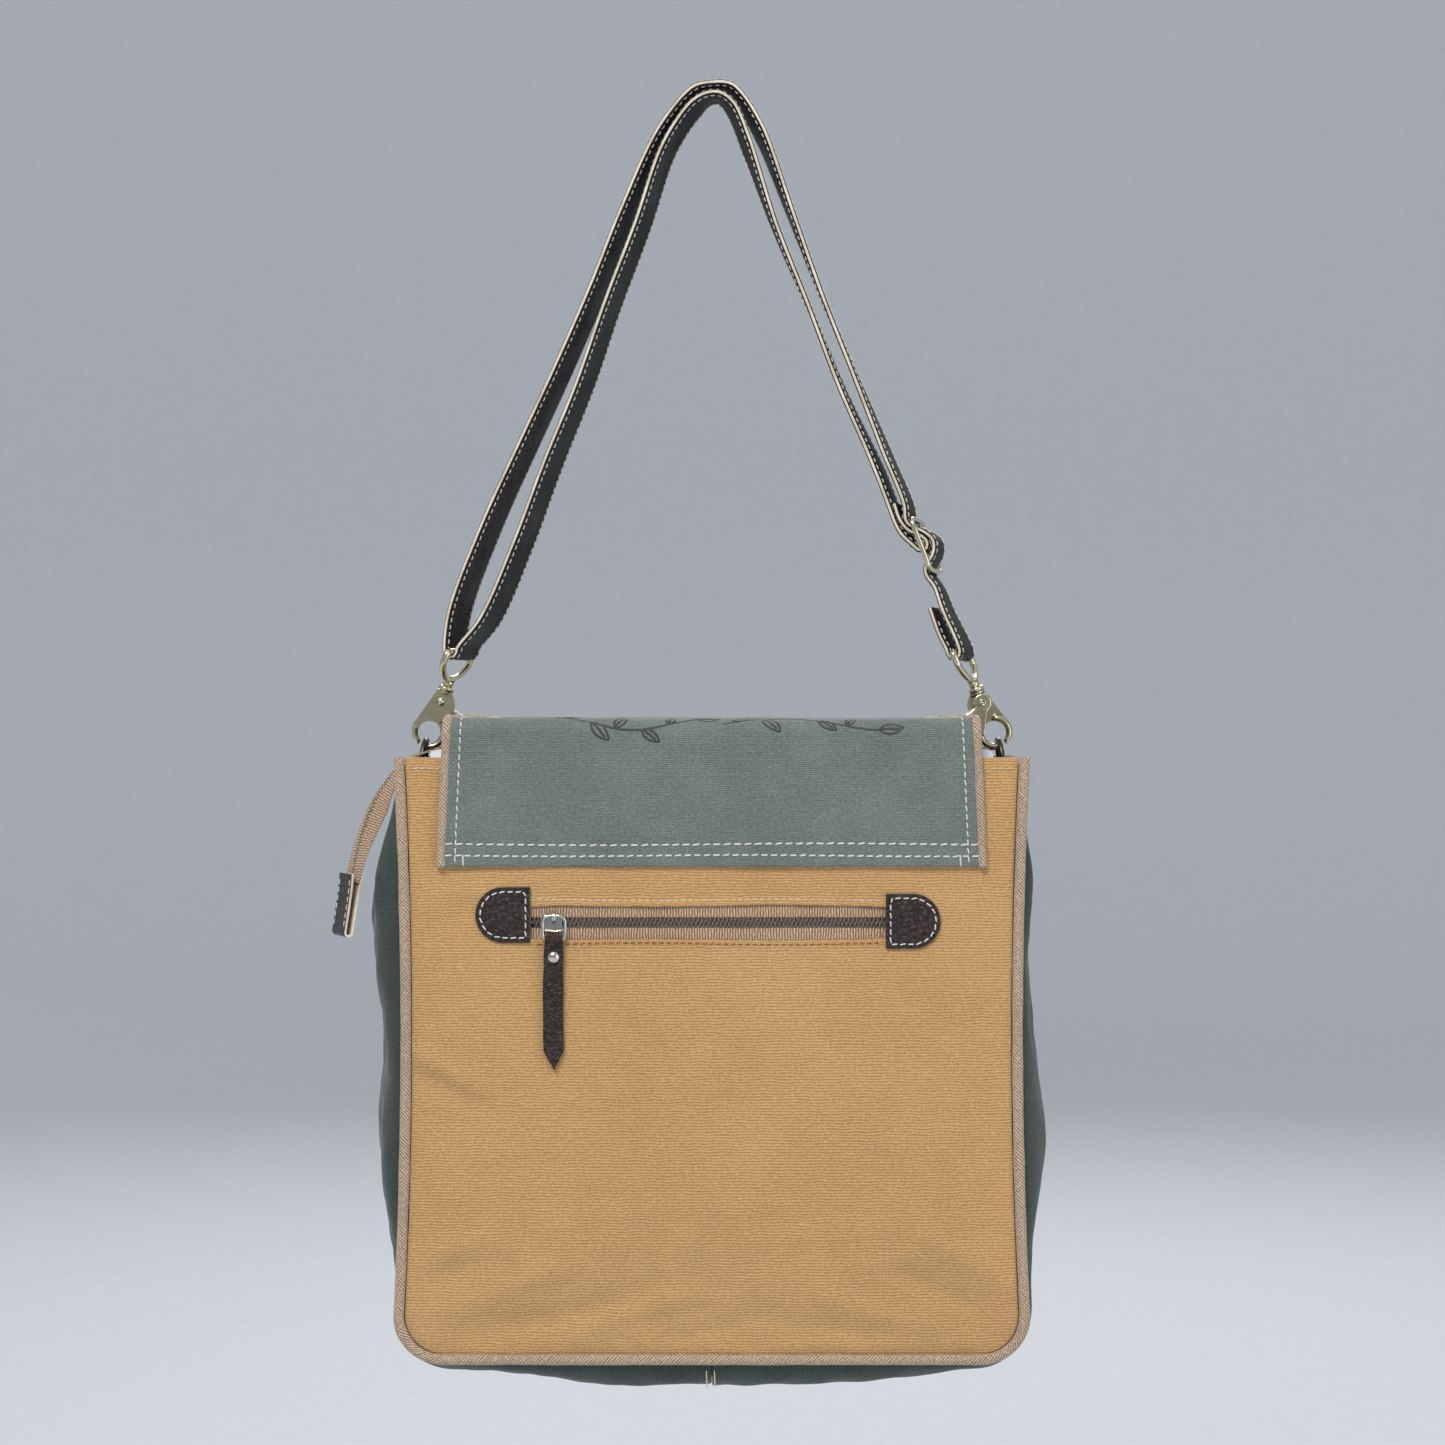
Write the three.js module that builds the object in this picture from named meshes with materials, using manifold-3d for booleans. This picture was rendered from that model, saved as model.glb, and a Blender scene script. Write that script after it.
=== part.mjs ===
// Messenger bag, hanging by its shoulder strap. Millimetres, +Z up, the bag's back faces -Y.
// Pieces are placed from the bag's middle plane, y = 0, and the height of the hang point, z = 0.
// At the end the whole bag moves so that the hang point under the strap is the origin.
import * as THREE from 'three';
import { mergeVertices } from 'three/addons/utils/BufferGeometryUtils.js';
import Module from 'manifold-3d';

const wasm = await Module();
wasm.setup();

// ---------------------------------------------------------------- driving dimensions
const bagWidth = 350;          // over the piping
const bagHeight = 334;         // top edge of the panels to the bottom of the piping
const bagDepth = 90;           // over the piping
const strapDrop = 374;         // hang point down to the top edge of the panels
const cornerRadius = 27;       // bottom corners, outside the piping
const waist = 4;               // how far each side draws in halfway down

const clear = 0.3;             // gap between touching pieces
const canvas = 1.6;            // panel cloth
const gussetCloth = 2;
const liningCloth = 0.7;
const pipingRadius = 3;
const pipingProud = 1.5;       // piping stands this far in front of the panel

const pocketZipZ = -465;       // centre line of the back pocket's zip
const pocketZipX = -2;         // middle of its opening
const pocketSlotLength = 197;
const pocketSlotHeight = 17;
const zipHalfCoil = 2.4;
const zipTape = 1;

const strapWidth = 32;
const strapThickness = 2.8;
const strapApexY = 24;         // middle of the strap's width where it hangs

const ringY = 18;              // D-rings sit in front of the zip line
const ringInset = 10.5;        // ring bar in from the bag's side
const ringWire = 1.5;          // radius
const hookTilt = { left: 21.7, right: 23.5 };
const hookLength = 41.7;       // eye centre to loop centre
const loopInner = 6.1;         // radius of the hook's loop opening
const loopOuter = 10.2;

const flapHalfWidth = 143.5;   // cloth only, without its piping
const flapDrop = 60;           // sewn part below the panels' top edge
const flapRise = 20.5;         // middle of the flap's top above the panels' top edge
const flapFrontLength = 240;
const flapCloth = 1.4;
const flapPiping = 2.3;        // radius

// ---------------------------------------------------------------- derived places
const rad = Math.PI / 180;
const topZ = -strapDrop;
const bottomZ = topZ - bagHeight;
const panelFace = bagDepth / 2 - pipingProud;
const panelInset = 2 * pipingRadius + clear;
const gussetHalf = panelFace - canvas - clear - 2.9;
const flapTopZ = topZ + flapRise;

// ---------------------------------------------------------------- materials
const looks = {
  tanCanvas: [0xcfa264, 0.95, 0],
  greenCanvas: [0x66756e, 0.95, 0],
  gussetCanvas: [0x4a5851, 0.95, 0],
  piping: [0xb09d8c, 0.9, 0],
  lining: [0xd9dbe0, 0.9, 0],
  tape: [0x96775f, 0.9, 0],
  coil: [0x3c2a24, 0.5, 0],
  leather: [0x35282a, 0.55, 0],
  brass: [0x8f8768, 0.35, 1],
  bronze: [0x2f2a29, 0.4, 1],
  steel: [0x8d8a80, 0.35, 1],
};

function material(look) {
  const [color, roughness, metalness] = looks[look];
  return new THREE.MeshStandardMaterial({ color, roughness, metalness });
}

const bag = new THREE.Group();

function weld(geometry) {
  const welded = geometry.clone();
  welded.deleteAttribute('normal');
  welded.deleteAttribute('uv');
  return mergeVertices(welded, 1e-4);
}

function add(name, look, geometry, parent = bag) {
  const welded = weld(geometry);
  welded.computeVertexNormals();
  const mesh = new THREE.Mesh(welded, material(look));
  mesh.name = name;
  parent.add(mesh);
  return mesh;
}

// ---------------------------------------------------------------- shape helpers
function toSolid(geometry) {
  const welded = weld(geometry);
  return new wasm.Manifold(new wasm.Mesh({
    numProp: 3,
    vertProperties: new Float32Array(welded.attributes.position.array),
    triVerts: new Uint32Array(welded.index.array),
  }));
}

function fromSolid(solid) {
  const { vertProperties, triVerts } = solid.getMesh();
  const geometry = new THREE.BufferGeometry();
  geometry.setAttribute('position', new THREE.BufferAttribute(vertProperties, 3));
  geometry.setIndex(new THREE.BufferAttribute(triVerts, 1));
  return geometry;
}

function join(...geometries) {
  const solids = geometries.map(toSolid);
  return fromSolid(solids.reduce((whole, piece) => whole.add(piece)).simplify(0.01));
}

// An outline in x and z, made thick from y0 to y1.
function plate(shape, y0, y1, curveSegments = 6) {
  const options = { depth: y1 - y0, bevelEnabled: false, curveSegments };
  const geometry = new THREE.ExtrudeGeometry(shape, options);
  geometry.rotateX(Math.PI / 2);
  geometry.translate(0, y1, 0);
  return geometry;
}

function rectangle(x0, x1, z0, z1) {
  const shape = new THREE.Shape();
  shape.moveTo(x0, z0);
  shape.lineTo(x1, z0);
  shape.lineTo(x1, z1);
  shape.lineTo(x0, z1);
  shape.closePath();
  return shape;
}

function slab(x0, x1, y0, y1, z0, z1) {
  const geometry = new THREE.BoxGeometry(x1 - x0, y1 - y0, z1 - z0);
  geometry.translate((x0 + x1) / 2, (y0 + y1) / 2, (z0 + z1) / 2);
  return geometry;
}

// A cylinder along Y.
function pin(x, z, radius, y0, y1, sides = 20) {
  const geometry = new THREE.CylinderGeometry(radius, radius, y1 - y0, sides);
  geometry.translate(x, (y0 + y1) / 2, z);
  return geometry;
}

// Moves each point of a body made along local Y (-0.5 to 0.5) onto a route.
// station(t) gives the route's point, the direction across it and the direction out of its face.
function bend(geometry, station) {
  const positions = geometry.attributes.position;
  for (let i = 0; i < positions.count; i += 1) {
    const t = positions.getY(i) + 0.5;
    const x = positions.getX(i);
    const z = positions.getZ(i);
    const { point, across, out } = station(t, x);
    positions.setXYZ(
      i,
      point.x + across.x * x + out.x * z,
      point.y + across.y * x + out.y * z,
      point.z + across.z * x + out.z * z,
    );
  }
  return geometry;
}

function ribbon(width, thickness, steps, station, widthSteps = 1) {
  return bend(new THREE.BoxGeometry(width, 1, thickness, widthSteps, steps, 1), station);
}

function rope(radius, steps, station, sides = 8) {
  return bend(new THREE.CylinderGeometry(radius, radius, 1, sides, steps), station);
}

// Stations at the corners of a polygon [a, b] that lies in the plane of across's normal.
// place(a, b) puts a corner in space; out is mitred, so that offset faces stay parallel.
function polygonRoute(points, across, place) {
  const corners = points.map((p) => place(p.x, p.y));
  const last = corners.length - 1;
  const normals = corners.slice(1).map((corner, k) => {
    const along = corner.clone().sub(corners[k]).normalize();
    return new THREE.Vector3().crossVectors(across, along);
  });
  return (t) => {
    const k = Math.round(t * last);
    const before = normals[Math.max(k - 1, 0)];
    const after = normals[Math.min(k, last - 1)];
    const out = before.clone().add(after).normalize();
    out.divideScalar(out.dot(after));
    return { point: corners[k].clone(), across, out };
  };
}

const alongX = new THREE.Vector3(1, 0, 0);
const alongY = new THREE.Vector3(0, 1, 0);

// A route in x and z at one y, with its outside out when it runs down the left side.
function frontRoute(points, y) {
  return polygonRoute(points, alongY, (x, z) => new THREE.Vector3(x, y, z));
}

// A route in y and z, with X across it.
function sideRoute(points) {
  return polygonRoute(points, alongX, (y, z) => new THREE.Vector3(0, y, z));
}

// Points of several curves one after the other, each with its own number of steps.
function chain(...pieces) {
  const points = pieces.flatMap(([curve, steps]) => curve.getPoints(steps));
  return points.filter((point, k) => k === 0 || point.distanceTo(points[k - 1]) > 1e-6);
}

function line(x0, z0, x1, z1) {
  return new THREE.LineCurve(new THREE.Vector2(x0, z0), new THREE.Vector2(x1, z1));
}

function arc(x, z, radius, from, to) {
  return new THREE.EllipseCurve(x, z, radius, radius, from * rad, to * rad, to < from);
}

// A ring of round wire whose centre line is pulled from a circle to the curve centre(angle).
function wireRing(wire, centre, steps = 32, sides = 8) {
  const unit = 10;
  const geometry = new THREE.TorusGeometry(unit, wire, sides, steps);
  const positions = geometry.attributes.position;
  for (let i = 0; i < positions.count; i += 1) {
    const x = positions.getX(i);
    const y = positions.getY(i);
    const angle = Math.atan2(y, x);
    const c = centre(angle);
    positions.setX(i, c.x + x - unit * Math.cos(angle));
    positions.setY(i, c.y + y - unit * Math.sin(angle));
  }
  return geometry;
}

// Keeps the sign and raises the size to a power, which squares off a circle's cosine or sine.
function power(value, exponent) {
  return Math.abs(value) < 1e-9 ? 0 : Math.sign(value) * Math.abs(value) ** exponent;
}

function between(table, value) {
  const last = table.length - 1;
  if (value <= table[0][0]) return table[0][1];
  if (value >= table[last][0]) return table[last][1];
  const k = table.findIndex(([at]) => at >= value);
  const [a, low] = table[k - 1];
  const [b, high] = table[k];
  return low + ((high - low) * (value - a)) / (b - a);
}

// ---------------------------------------------------------------- the bag's outline
const sideSteps = 14;
const cornerSteps = 8;
const halfBaseSteps = 5;

// Down the left side, round the bottom and up the right, seen from the back.
function outline(inset, top = topZ) {
  const half = bagWidth / 2 - inset;
  const radius = cornerRadius - inset;
  const bendZ = bottomZ + cornerRadius;
  const bendX = half - radius;
  const sideCurve = new THREE.QuadraticBezierCurve(
    new THREE.Vector2(-half, top),
    new THREE.Vector2(-half + 2 * waist, (top + bendZ) / 2),
    new THREE.Vector2(-half, bendZ),
  );
  const left = chain(
    [sideCurve, sideSteps],
    [arc(-bendX, bendZ, radius, 180, 270), cornerSteps],
    [line(-bendX, bottomZ + inset, 0, bottomZ + inset), halfBaseSteps],
  );
  const right = left.slice(0, -1).reverse().map((p) => new THREE.Vector2(-p.x, p.y));
  return [...left, ...right];
}

// ---------------------------------------------------------------- body
const pocketSlot = {
  x0: pocketZipX - pocketSlotLength / 2,
  x1: pocketZipX + pocketSlotLength / 2,
  z0: pocketZipZ - pocketSlotHeight / 2,
  z1: pocketZipZ + pocketSlotHeight / 2,
};

function panels() {
  const back = new THREE.Shape(outline(panelInset));
  back.holes.push(rectangle(pocketSlot.x0, pocketSlot.x1, pocketSlot.z0, pocketSlot.z1));
  add('back_panel', 'tanCanvas', plate(back, -panelFace, -panelFace + canvas));
  const front = new THREE.Shape(outline(panelInset));
  add('front_panel', 'greenCanvas', plate(front, panelFace - canvas, panelFace));
}

function piping() {
  const points = outline(pipingRadius);
  const y = bagDepth / 2 - pipingRadius;
  add('piping_back', 'piping', rope(pipingRadius, points.length - 1, frontRoute(points, -y)));
  add('piping_front', 'piping', rope(pipingRadius, points.length - 1, frontRoute(points, y)));
}

// How far the gusset stands out, by the number of outline steps from its top edge to the seam
// under the base: tucked in at the rings, then bulging, deepest under the base.
const bulgeBase = [
  [sideSteps + cornerSteps, 17], [sideSteps + cornerSteps + 2, 20.5],
  [sideSteps + cornerSteps + 3, 22], [sideSteps + cornerSteps + halfBaseSteps, 22],
];
const bulgeLeft = [
  [0, -8], [1, -7], [2, 8], [3, 16.5], [5, 18], [7.3, 15], [10.5, 19], [12.8, 15], [14, 14],
  ...bulgeBase,
];
const bulgeRight = [
  [0, -8], [1, -8], [2, 0], [3, 6], [5, 8], [7, 12], [10, 18], [12, 17], [14, 14],
  ...bulgeBase,
];
// Section across the depth: y as a share of the gusset's half width, and its share of the bulge.
const bulgeSection = [[0, 1], [0.33, 1], [0.74, 0.9], [1, 0]];
const gussetTopZ = topZ - 10;
const seamStep = sideSteps + cornerSteps + halfBaseSteps;

// The strip runs between two steps of the outline. Its width is cut at the section's corners,
// so that strips inside each other stay parallel.
function gussetStrip(from, to, outward, thickness, y0, y1) {
  const inset = 1.5 + gussetCloth / 2;
  const points = outline(inset, gussetTopZ).slice(from, to + 1);
  if (to === seamStep) points[to - from].x -= clear / 2;
  if (from === seamStep) points[0].x += clear / 2;
  const marks = [y0, ...[-0.74, -0.33, 0.33, 0.74].map((share) => share * gussetHalf), y1];
  const middle = (y0 + y1) / 2;
  const columns = marks.length - 1;
  const geometry = new THREE.BoxGeometry(y1 - y0, 1, thickness, columns, to - from, 1);
  const positions = geometry.attributes.position;
  for (let i = 0; i < positions.count; i += 1) {
    const column = Math.round(((positions.getX(i) - (y0 - middle)) / (y1 - y0)) * columns);
    positions.setX(i, marks[column]);
  }
  const route = frontRoute(points, 0);
  return bend(geometry, (t, y) => {
    const station = route(t);
    const step = from + (to - from) * t;
    const share = between(bulgeSection, Math.abs(y) / gussetHalf);
    const run = step <= seamStep ? between(bulgeLeft, step) : between(bulgeRight, 2 * seamStep - step);
    station.point.addScaledVector(station.out, share * run + outward);
    return station;
  });
}

function gussets() {
  add('gusset_left', 'gussetCanvas', gussetStrip(0, seamStep, 0, gussetCloth, -gussetHalf, gussetHalf));
  add('gusset_right', 'gussetCanvas',
    gussetStrip(seamStep, 2 * seamStep, 0, gussetCloth, -gussetHalf, gussetHalf));
  const inward = -(gussetCloth + liningCloth) / 2 - 4.2;
  add('lining_gusset', 'lining',
    gussetStrip(1, 2 * seamStep - 1, inward, liningCloth, liningBackY + 2, gussetHalf - 8));
}

const pouchOuterY = -panelFace + canvas + clear + zipTape + clear;
const pouchRoom = 4.8;
const pouchInnerY = pouchOuterY + 0.6 + pouchRoom;
const liningBackY = pouchInnerY + 0.6 + clear + liningCloth;
const liningFrontY = panelFace - canvas - clear - liningCloth;
const pouchDepth = 165;
const slipPocket = { half: 80, top: topZ - 95, bottom: topZ - 225, room: 4.8 };

function inside() {
  const half = bagWidth / 2 - cornerRadius + 4;
  const low = bottomZ + 14;
  const high = topZ - 7;
  const pouchLow = pocketZipZ - pouchDepth;
  const pouchHalf = pocketSlotLength / 2 + 4;
  const x0 = pocketZipX - pouchHalf;
  const x1 = pocketZipX + pouchHalf;
  add('pouch_outer_ply', 'lining', slab(x0, x1, pouchOuterY, pouchOuterY + 0.6, pouchLow, pocketZipZ - 7));
  add('pouch_inner_ply', 'lining', slab(x0, x1, pouchInnerY, pouchInnerY + 0.6, pouchLow, pocketZipZ + 14));
  add('lining_back', 'lining', slab(-half, half, liningBackY - liningCloth, liningBackY, low, high));
  add('lining_front', 'lining', slab(-half, half, liningFrontY, liningFrontY + liningCloth, low, high));
  const slipY = liningFrontY - slipPocket.room;
  add('slip_pocket', 'lining',
    slab(-slipPocket.half, slipPocket.half, slipY - 0.8, slipY, slipPocket.bottom, slipPocket.top));
}

// ---------------------------------------------------------------- main zip
const zipY = -12;
const zipTopZ = topZ + 10;       // tape's middle plane where the top stands highest
const zipFlat = bagWidth / 2 - 58;
const zipEnd = bagWidth / 2 - 19;
const zipEndZ = topZ + 3;
const mainTapeWidth = 12;
const placketFrontEnd = bagWidth / 2 - 42;

function zipHeight(x) {
  return between([[zipFlat, zipTopZ], [zipEnd, zipEndZ]], Math.abs(x));
}

// A strip along X between y0 and y1. Its edges stand z0 and z1 over the zip's own height.
function topStrip(name, look, end, y0, y1, thickness, z0 = 0, z1 = 0) {
  const middle = (y0 + y1) / 2;
  const station = (t, across) => {
    const x = -end + 2 * end * t;
    const share = (across + (y1 - y0) / 2) / (y1 - y0);
    const z = zipHeight(x) + z0 + (z1 - z0) * share;
    return {
      point: new THREE.Vector3(x, middle, z),
      across: new THREE.Vector3(0, 1, 0),
      out: new THREE.Vector3(0, 0, -1),
    };
  };
  add(name, look, ribbon(y1 - y0, thickness, 12, station, 3));
}

function mainZip() {
  const gap = zipHalfCoil + clear;
  topStrip('main_zip_coil', 'coil', zipEnd, zipY - zipHalfCoil, zipY + zipHalfCoil, 2.2);
  topStrip('main_zip_tape_back', 'tape', zipEnd, zipY - gap - mainTapeWidth, zipY - gap, zipTape);
  topStrip('main_zip_tape_front', 'tape', zipEnd, zipY + gap, zipY + gap + mainTapeWidth, zipTape);
  const inner = gap + mainTapeWidth + clear;
  const edge = panelFace - canvas - clear;
  topStrip('placket_back', 'lining', zipEnd, -edge, zipY - inner, 1, -11, 0);
  topStrip('placket_front', 'lining', placketFrontEnd, zipY + inner, edge, 1, 0, -11);
}

// The slider rests at the right end of the run, with its pull lying back along the zip.
const mainSliderX = zipFlat - 14;

function sliderShape(halfNose, halfTail, length) {
  const shape = new THREE.Shape();
  shape.moveTo(-length / 2, -halfTail);
  shape.lineTo(length / 2, -halfNose);
  shape.lineTo(length / 2, halfNose);
  shape.lineTo(-length / 2, halfTail);
  shape.closePath();
  return shape;
}

function mainSlider() {
  const low = zipTopZ + 1.1 + clear;
  const body = new THREE.ExtrudeGeometry(sliderShape(4.6, 3.6, 12), { depth: 1.4, bevelEnabled: false });
  body.translate(mainSliderX, zipY, low);
  const bridge = slab(mainSliderX - 3.4, mainSliderX + 3.4, zipY - 0.9, zipY + 0.9, low + 1.2, low + 2.6);
  add('main_zip_slider', 'steel', join(body, bridge));
  const pull = new THREE.Shape();
  pull.absarc(0, 0, 3.4, 0.5 * Math.PI, 1.5 * Math.PI, false);
  pull.lineTo(24, -2.6);
  pull.lineTo(24, 2.6);
  pull.closePath();
  const blade = new THREE.ExtrudeGeometry(pull, { depth: 1.1, bevelEnabled: false, curveSegments: 8 });
  blade.rotateZ(Math.PI);
  blade.translate(mainSliderX - 10, zipY, low + 0.6);
  add('main_zip_pull', 'steel', blade);
}

// The zip runs on past the bag's left end and hangs down; its leather tab closes it off.
function zipTail() {
  const start = new THREE.Vector3(-zipEnd - 1.6, zipY, zipEndZ - 0.5);
  const route = new THREE.CatmullRomCurve3([
    start,
    new THREE.Vector3(-bagWidth / 2 + 5, zipY - 1, topZ - 2),
    new THREE.Vector3(-bagWidth / 2 - 11, zipY - 2.5, topZ - 22),
    new THREE.Vector3(-bagWidth / 2 - 20.5, zipY - 4, topZ - 47),
    new THREE.Vector3(-bagWidth / 2 - 24, zipY - 6, topZ - 64),
  ], false, 'centripetal');
  const half = 13.5;
  // The near half of the tape turns flat to the back; the far half folds away behind the coil.
  const station = (t, x) => {
    const point = route.getPointAt(t);
    const tangent = route.getTangentAt(t);
    const turn = (x < 0 ? between([[0, 4], [0.5, 50], [1, 22]], t) : between([[0, 4], [1, 22]], t)) * rad;
    const wish = new THREE.Vector3(-Math.sin(turn), Math.cos(turn), 0);
    const across = wish.addScaledVector(tangent, -wish.dot(tangent)).normalize();
    const out = new THREE.Vector3().crossVectors(across, tangent);
    return { point, across, out };
  };
  add('zip_tail', 'tape', ribbon(2 * half, 1.4, 14, station, 2));
  const tab = slab(-2.6, 2.6, -13, 13, -35, 0);
  const mesh = add('zip_tail_tab', 'leather', tab);
  mesh.position.set(-bagWidth / 2 - 25.6, zipY - 6.5, topZ - 65.2);
  mesh.rotation.set(0, 9 * rad, 22 * rad, 'ZYX');
}

// ---------------------------------------------------------------- back pocket's zip
const pocketSliderX = pocketZipX - pocketSlotLength / 2 + 13;
const pocketPullLength = 76;

function endTab(name, x, z, side) {
  const half = 15.2;
  const shape = new THREE.Shape();
  shape.moveTo(0, -half);
  shape.lineTo(side * 15, -half);
  shape.absarc(side * 15, 0, half, -Math.PI / 2, Math.PI / 2, side < 0);
  shape.lineTo(0, half);
  shape.closePath();
  const geometry = plate(shape, -panelFace - clear - 1.6, -panelFace - clear, 10);
  geometry.translate(x, 0, z);
  add(name, 'leather', geometry);
}

function pocketZip() {
  const x0 = pocketSlot.x0 - 6;
  const x1 = pocketSlot.x1 + 6;
  const tapeY = -panelFace + canvas + clear;
  const inner = zipHalfCoil + clear;
  const tapeHalf = pocketSlotHeight / 2 + 5;
  add('pocket_zip_tape_upper', 'tape',
    slab(x0, x1, tapeY, tapeY + zipTape, pocketZipZ + inner, pocketZipZ + tapeHalf));
  add('pocket_zip_tape_lower', 'tape',
    slab(x0, x1, tapeY, tapeY + zipTape, pocketZipZ - tapeHalf, pocketZipZ - inner));
  const low = pocketZipZ - zipHalfCoil;
  const high = pocketZipZ + zipHalfCoil;
  add('pocket_zip_coil', 'coil',
    slab(pocketSlot.x0 + 1, pocketSlot.x1 - 1, -panelFace + 0.6, tapeY + zipTape, low, high));
  endTab('pocket_tab_left', pocketSlot.x0 + 1, pocketZipZ + 4.5, -1);
  endTab('pocket_tab_right', pocketSlot.x1 - 1, pocketZipZ + 1, 1);
}

// The pull's wire ring turns in the slider's bridge about its own top wire.
const pullRing = {
  x: pocketSliderX + 1,
  y: -panelFace - 3.9,
  z: pocketZipZ - 2.5,
  half: 6.2,
  rise: 6.6,
  wire: 0.9,
};

function pocketSlider() {
  const face = -panelFace + clear;
  const body = plate(sliderShape(4.8, 3.7, 12), face - 1.6, face);
  body.translate(pocketSliderX, 0, pocketZipZ);
  const hole = pullRing.wire + clear;
  const wall = hole + 1.1;
  const half = 1.8;
  const topWire = pullRing.z + pullRing.rise;
  const block = slab(-half, half, pullRing.y - wall, face - 1.4, topWire - wall, topWire + wall);
  const rear = pullRing.y + hole;
  const bore = slab(-half - 1, half + 1, pullRing.y - hole, rear, topWire - hole, topWire + hole);
  const bridge = fromSolid(toSolid(block).subtract(toSolid(bore)));
  bridge.translate(pullRing.x, 0, 0);
  add('pocket_zip_slider', 'steel', join(body, bridge));
}

// Wire ring, doubled leather strip and its rivet hang from the slider as one.
function pocketPull() {
  const square = (angle) => ({
    x: pullRing.half * power(Math.cos(angle), 0.5),
    y: pullRing.rise * power(Math.sin(angle), 0.5),
  });
  const ring = wireRing(pullRing.wire, square, 28, 6);
  ring.rotateX(Math.PI / 2);
  ring.translate(pullRing.x, pullRing.y, pullRing.z);
  add('pocket_pull_ring', 'steel', ring);
  const halfStrip = 5.7;
  const top = pullRing.z - pullRing.rise + pullRing.wire + clear;
  const tip = top - pocketPullLength + 3.5;
  const face = -panelFace - 5.3;
  const strip = new THREE.Shape();
  strip.moveTo(-halfStrip, top - 2.4);
  strip.lineTo(-halfStrip, tip + 11);
  strip.lineTo(0, tip);
  strip.lineTo(halfStrip, tip + 11);
  strip.lineTo(halfStrip, top - 2.4);
  strip.closePath();
  const leather = plate(strip, face, face + 2.4);
  leather.translate(pullRing.x, 0, 0);
  add('pocket_pull_leather', 'leather', leather);
  const rivetZ = top - 10.5;
  const head = pin(pullRing.x, rivetZ, 3.4, face - 1.5, face - clear, 18);
  add('pocket_pull_rivet', 'steel', head);
}

// ---------------------------------------------------------------- flap
const flapBackY = -(panelFace + clear + 1.5);
const snapHalf = 2.8;
const flapLiningY = panelFace + 2 * snapHalf + 3 * clear + 0.4;
const flapFrontY = flapLiningY + liningCloth + clear + flapCloth / 2;
const flapHinge = { y: 40, z: flapTopZ + 2 * flapPiping - 1.5 };

// From the sewn lower edge up the back and over the top, in y and z.
function flapBackPoints() {
  const turn = 7;
  return chain(
    [line(flapBackY, topZ - flapDrop, flapBackY, flapTopZ - turn), 4],
    [arc(flapBackY + turn, flapTopZ - turn, turn, 180, 90), 6],
    [line(flapBackY + turn, flapTopZ, flapHinge.y - clear, flapTopZ), 16],
  );
}

function flapFrontPoints(inward) {
  const start = flapHinge.y + clear;
  const radius = flapFrontY - start - inward;
  const y = flapFrontY - inward;
  const bendZ = flapTopZ - inward - radius;
  return chain(
    [arc(start, bendZ, radius, 90, 0), 6],
    [line(y, bendZ, y, flapTopZ - flapFrontLength), 4],
  );
}

// The side edges draw in over the top, where the strap's hooks lie beside the flap.
const hookNotch = { depth: 17, y: 16, reach: 34 };

function flapEdge(y, z) {
  const off = Math.min(Math.abs(y - hookNotch.y) / hookNotch.reach, 1);
  const onTop = z > flapTopZ - 1 ? Math.cos((off * Math.PI) / 2) ** 2 : 0;
  const spread = between([[topZ - flapDrop, 3.5], [flapTopZ, 0]], z);
  return flapHalfWidth + spread - hookNotch.depth * onTop;
}

function flapSheet(points, thickness, narrower = 0) {
  const route = sideRoute(points);
  const station = (t) => {
    const base = route(t);
    const edge = flapEdge(base.point.y, base.point.z) - narrower;
    return { point: base.point, across: new THREE.Vector3(edge, 0, 0), out: base.out };
  };
  return ribbon(2, thickness, points.length - 1, station, 2);
}

function flapCord(points, side) {
  const route = sideRoute(points);
  const station = (t) => {
    const base = route(t);
    base.point.x = side * (flapEdge(base.point.y, base.point.z) + flapPiping + clear);
    base.point.addScaledVector(base.out, flapPiping - 1.5);
    return base;
  };
  return rope(flapPiping, points.length - 1, station);
}

function flap() {
  const backPoints = flapBackPoints();
  const frontPoints = flapFrontPoints(0);
  const inward = flapFrontY - flapLiningY - liningCloth / 2;
  add('flap_back', 'greenCanvas', flapSheet(backPoints, 3));
  add('flap_front', 'greenCanvas', flapSheet(frontPoints, flapCloth));
  add('flap_lining', 'lining', flapSheet(flapFrontPoints(inward), liningCloth, 3));
  for (const [side, sign] of [['left', -1], ['right', 1]]) {
    add(`flap_piping_${side}`, 'piping', flapCord(backPoints, sign));
    add(`flap_front_piping_${side}`, 'piping', flapCord(frontPoints, sign));
  }
}

function snap() {
  const z = flapTopZ - flapFrontLength + 32;
  add('snap_bag_half', 'steel', pin(0, z, 8.5, panelFace + clear, panelFace + clear + snapHalf, 24));
  const y = panelFace + 2 * clear + snapHalf;
  add('snap_flap_half', 'steel', pin(0, z, 8.5, y, y + snapHalf, 24));
}

// ---------------------------------------------------------------- rings and hooks
const ringHeight = 13.6;         // bar to the top of the ring's wire centre line
const ringBarZ = topZ - 4;
const ringSeat = loopInner - ringWire - 0.4;
const rivetDrop = 23.4;          // eye centre to the lever's rivet
const eyeBarRise = 7.5;          // eye centre to the bar that the strap turns round
const eyeWire = 1.75;
const eyeHalf = strapWidth / 2 + 3;
const eyeYaw = 18;

function tiltDown(side) {
  const tilt = hookTilt[side] * rad;
  const outward = side === 'left' ? -1 : 1;
  return new THREE.Vector3(outward * Math.sin(tilt), 0, -Math.cos(tilt));
}

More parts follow.
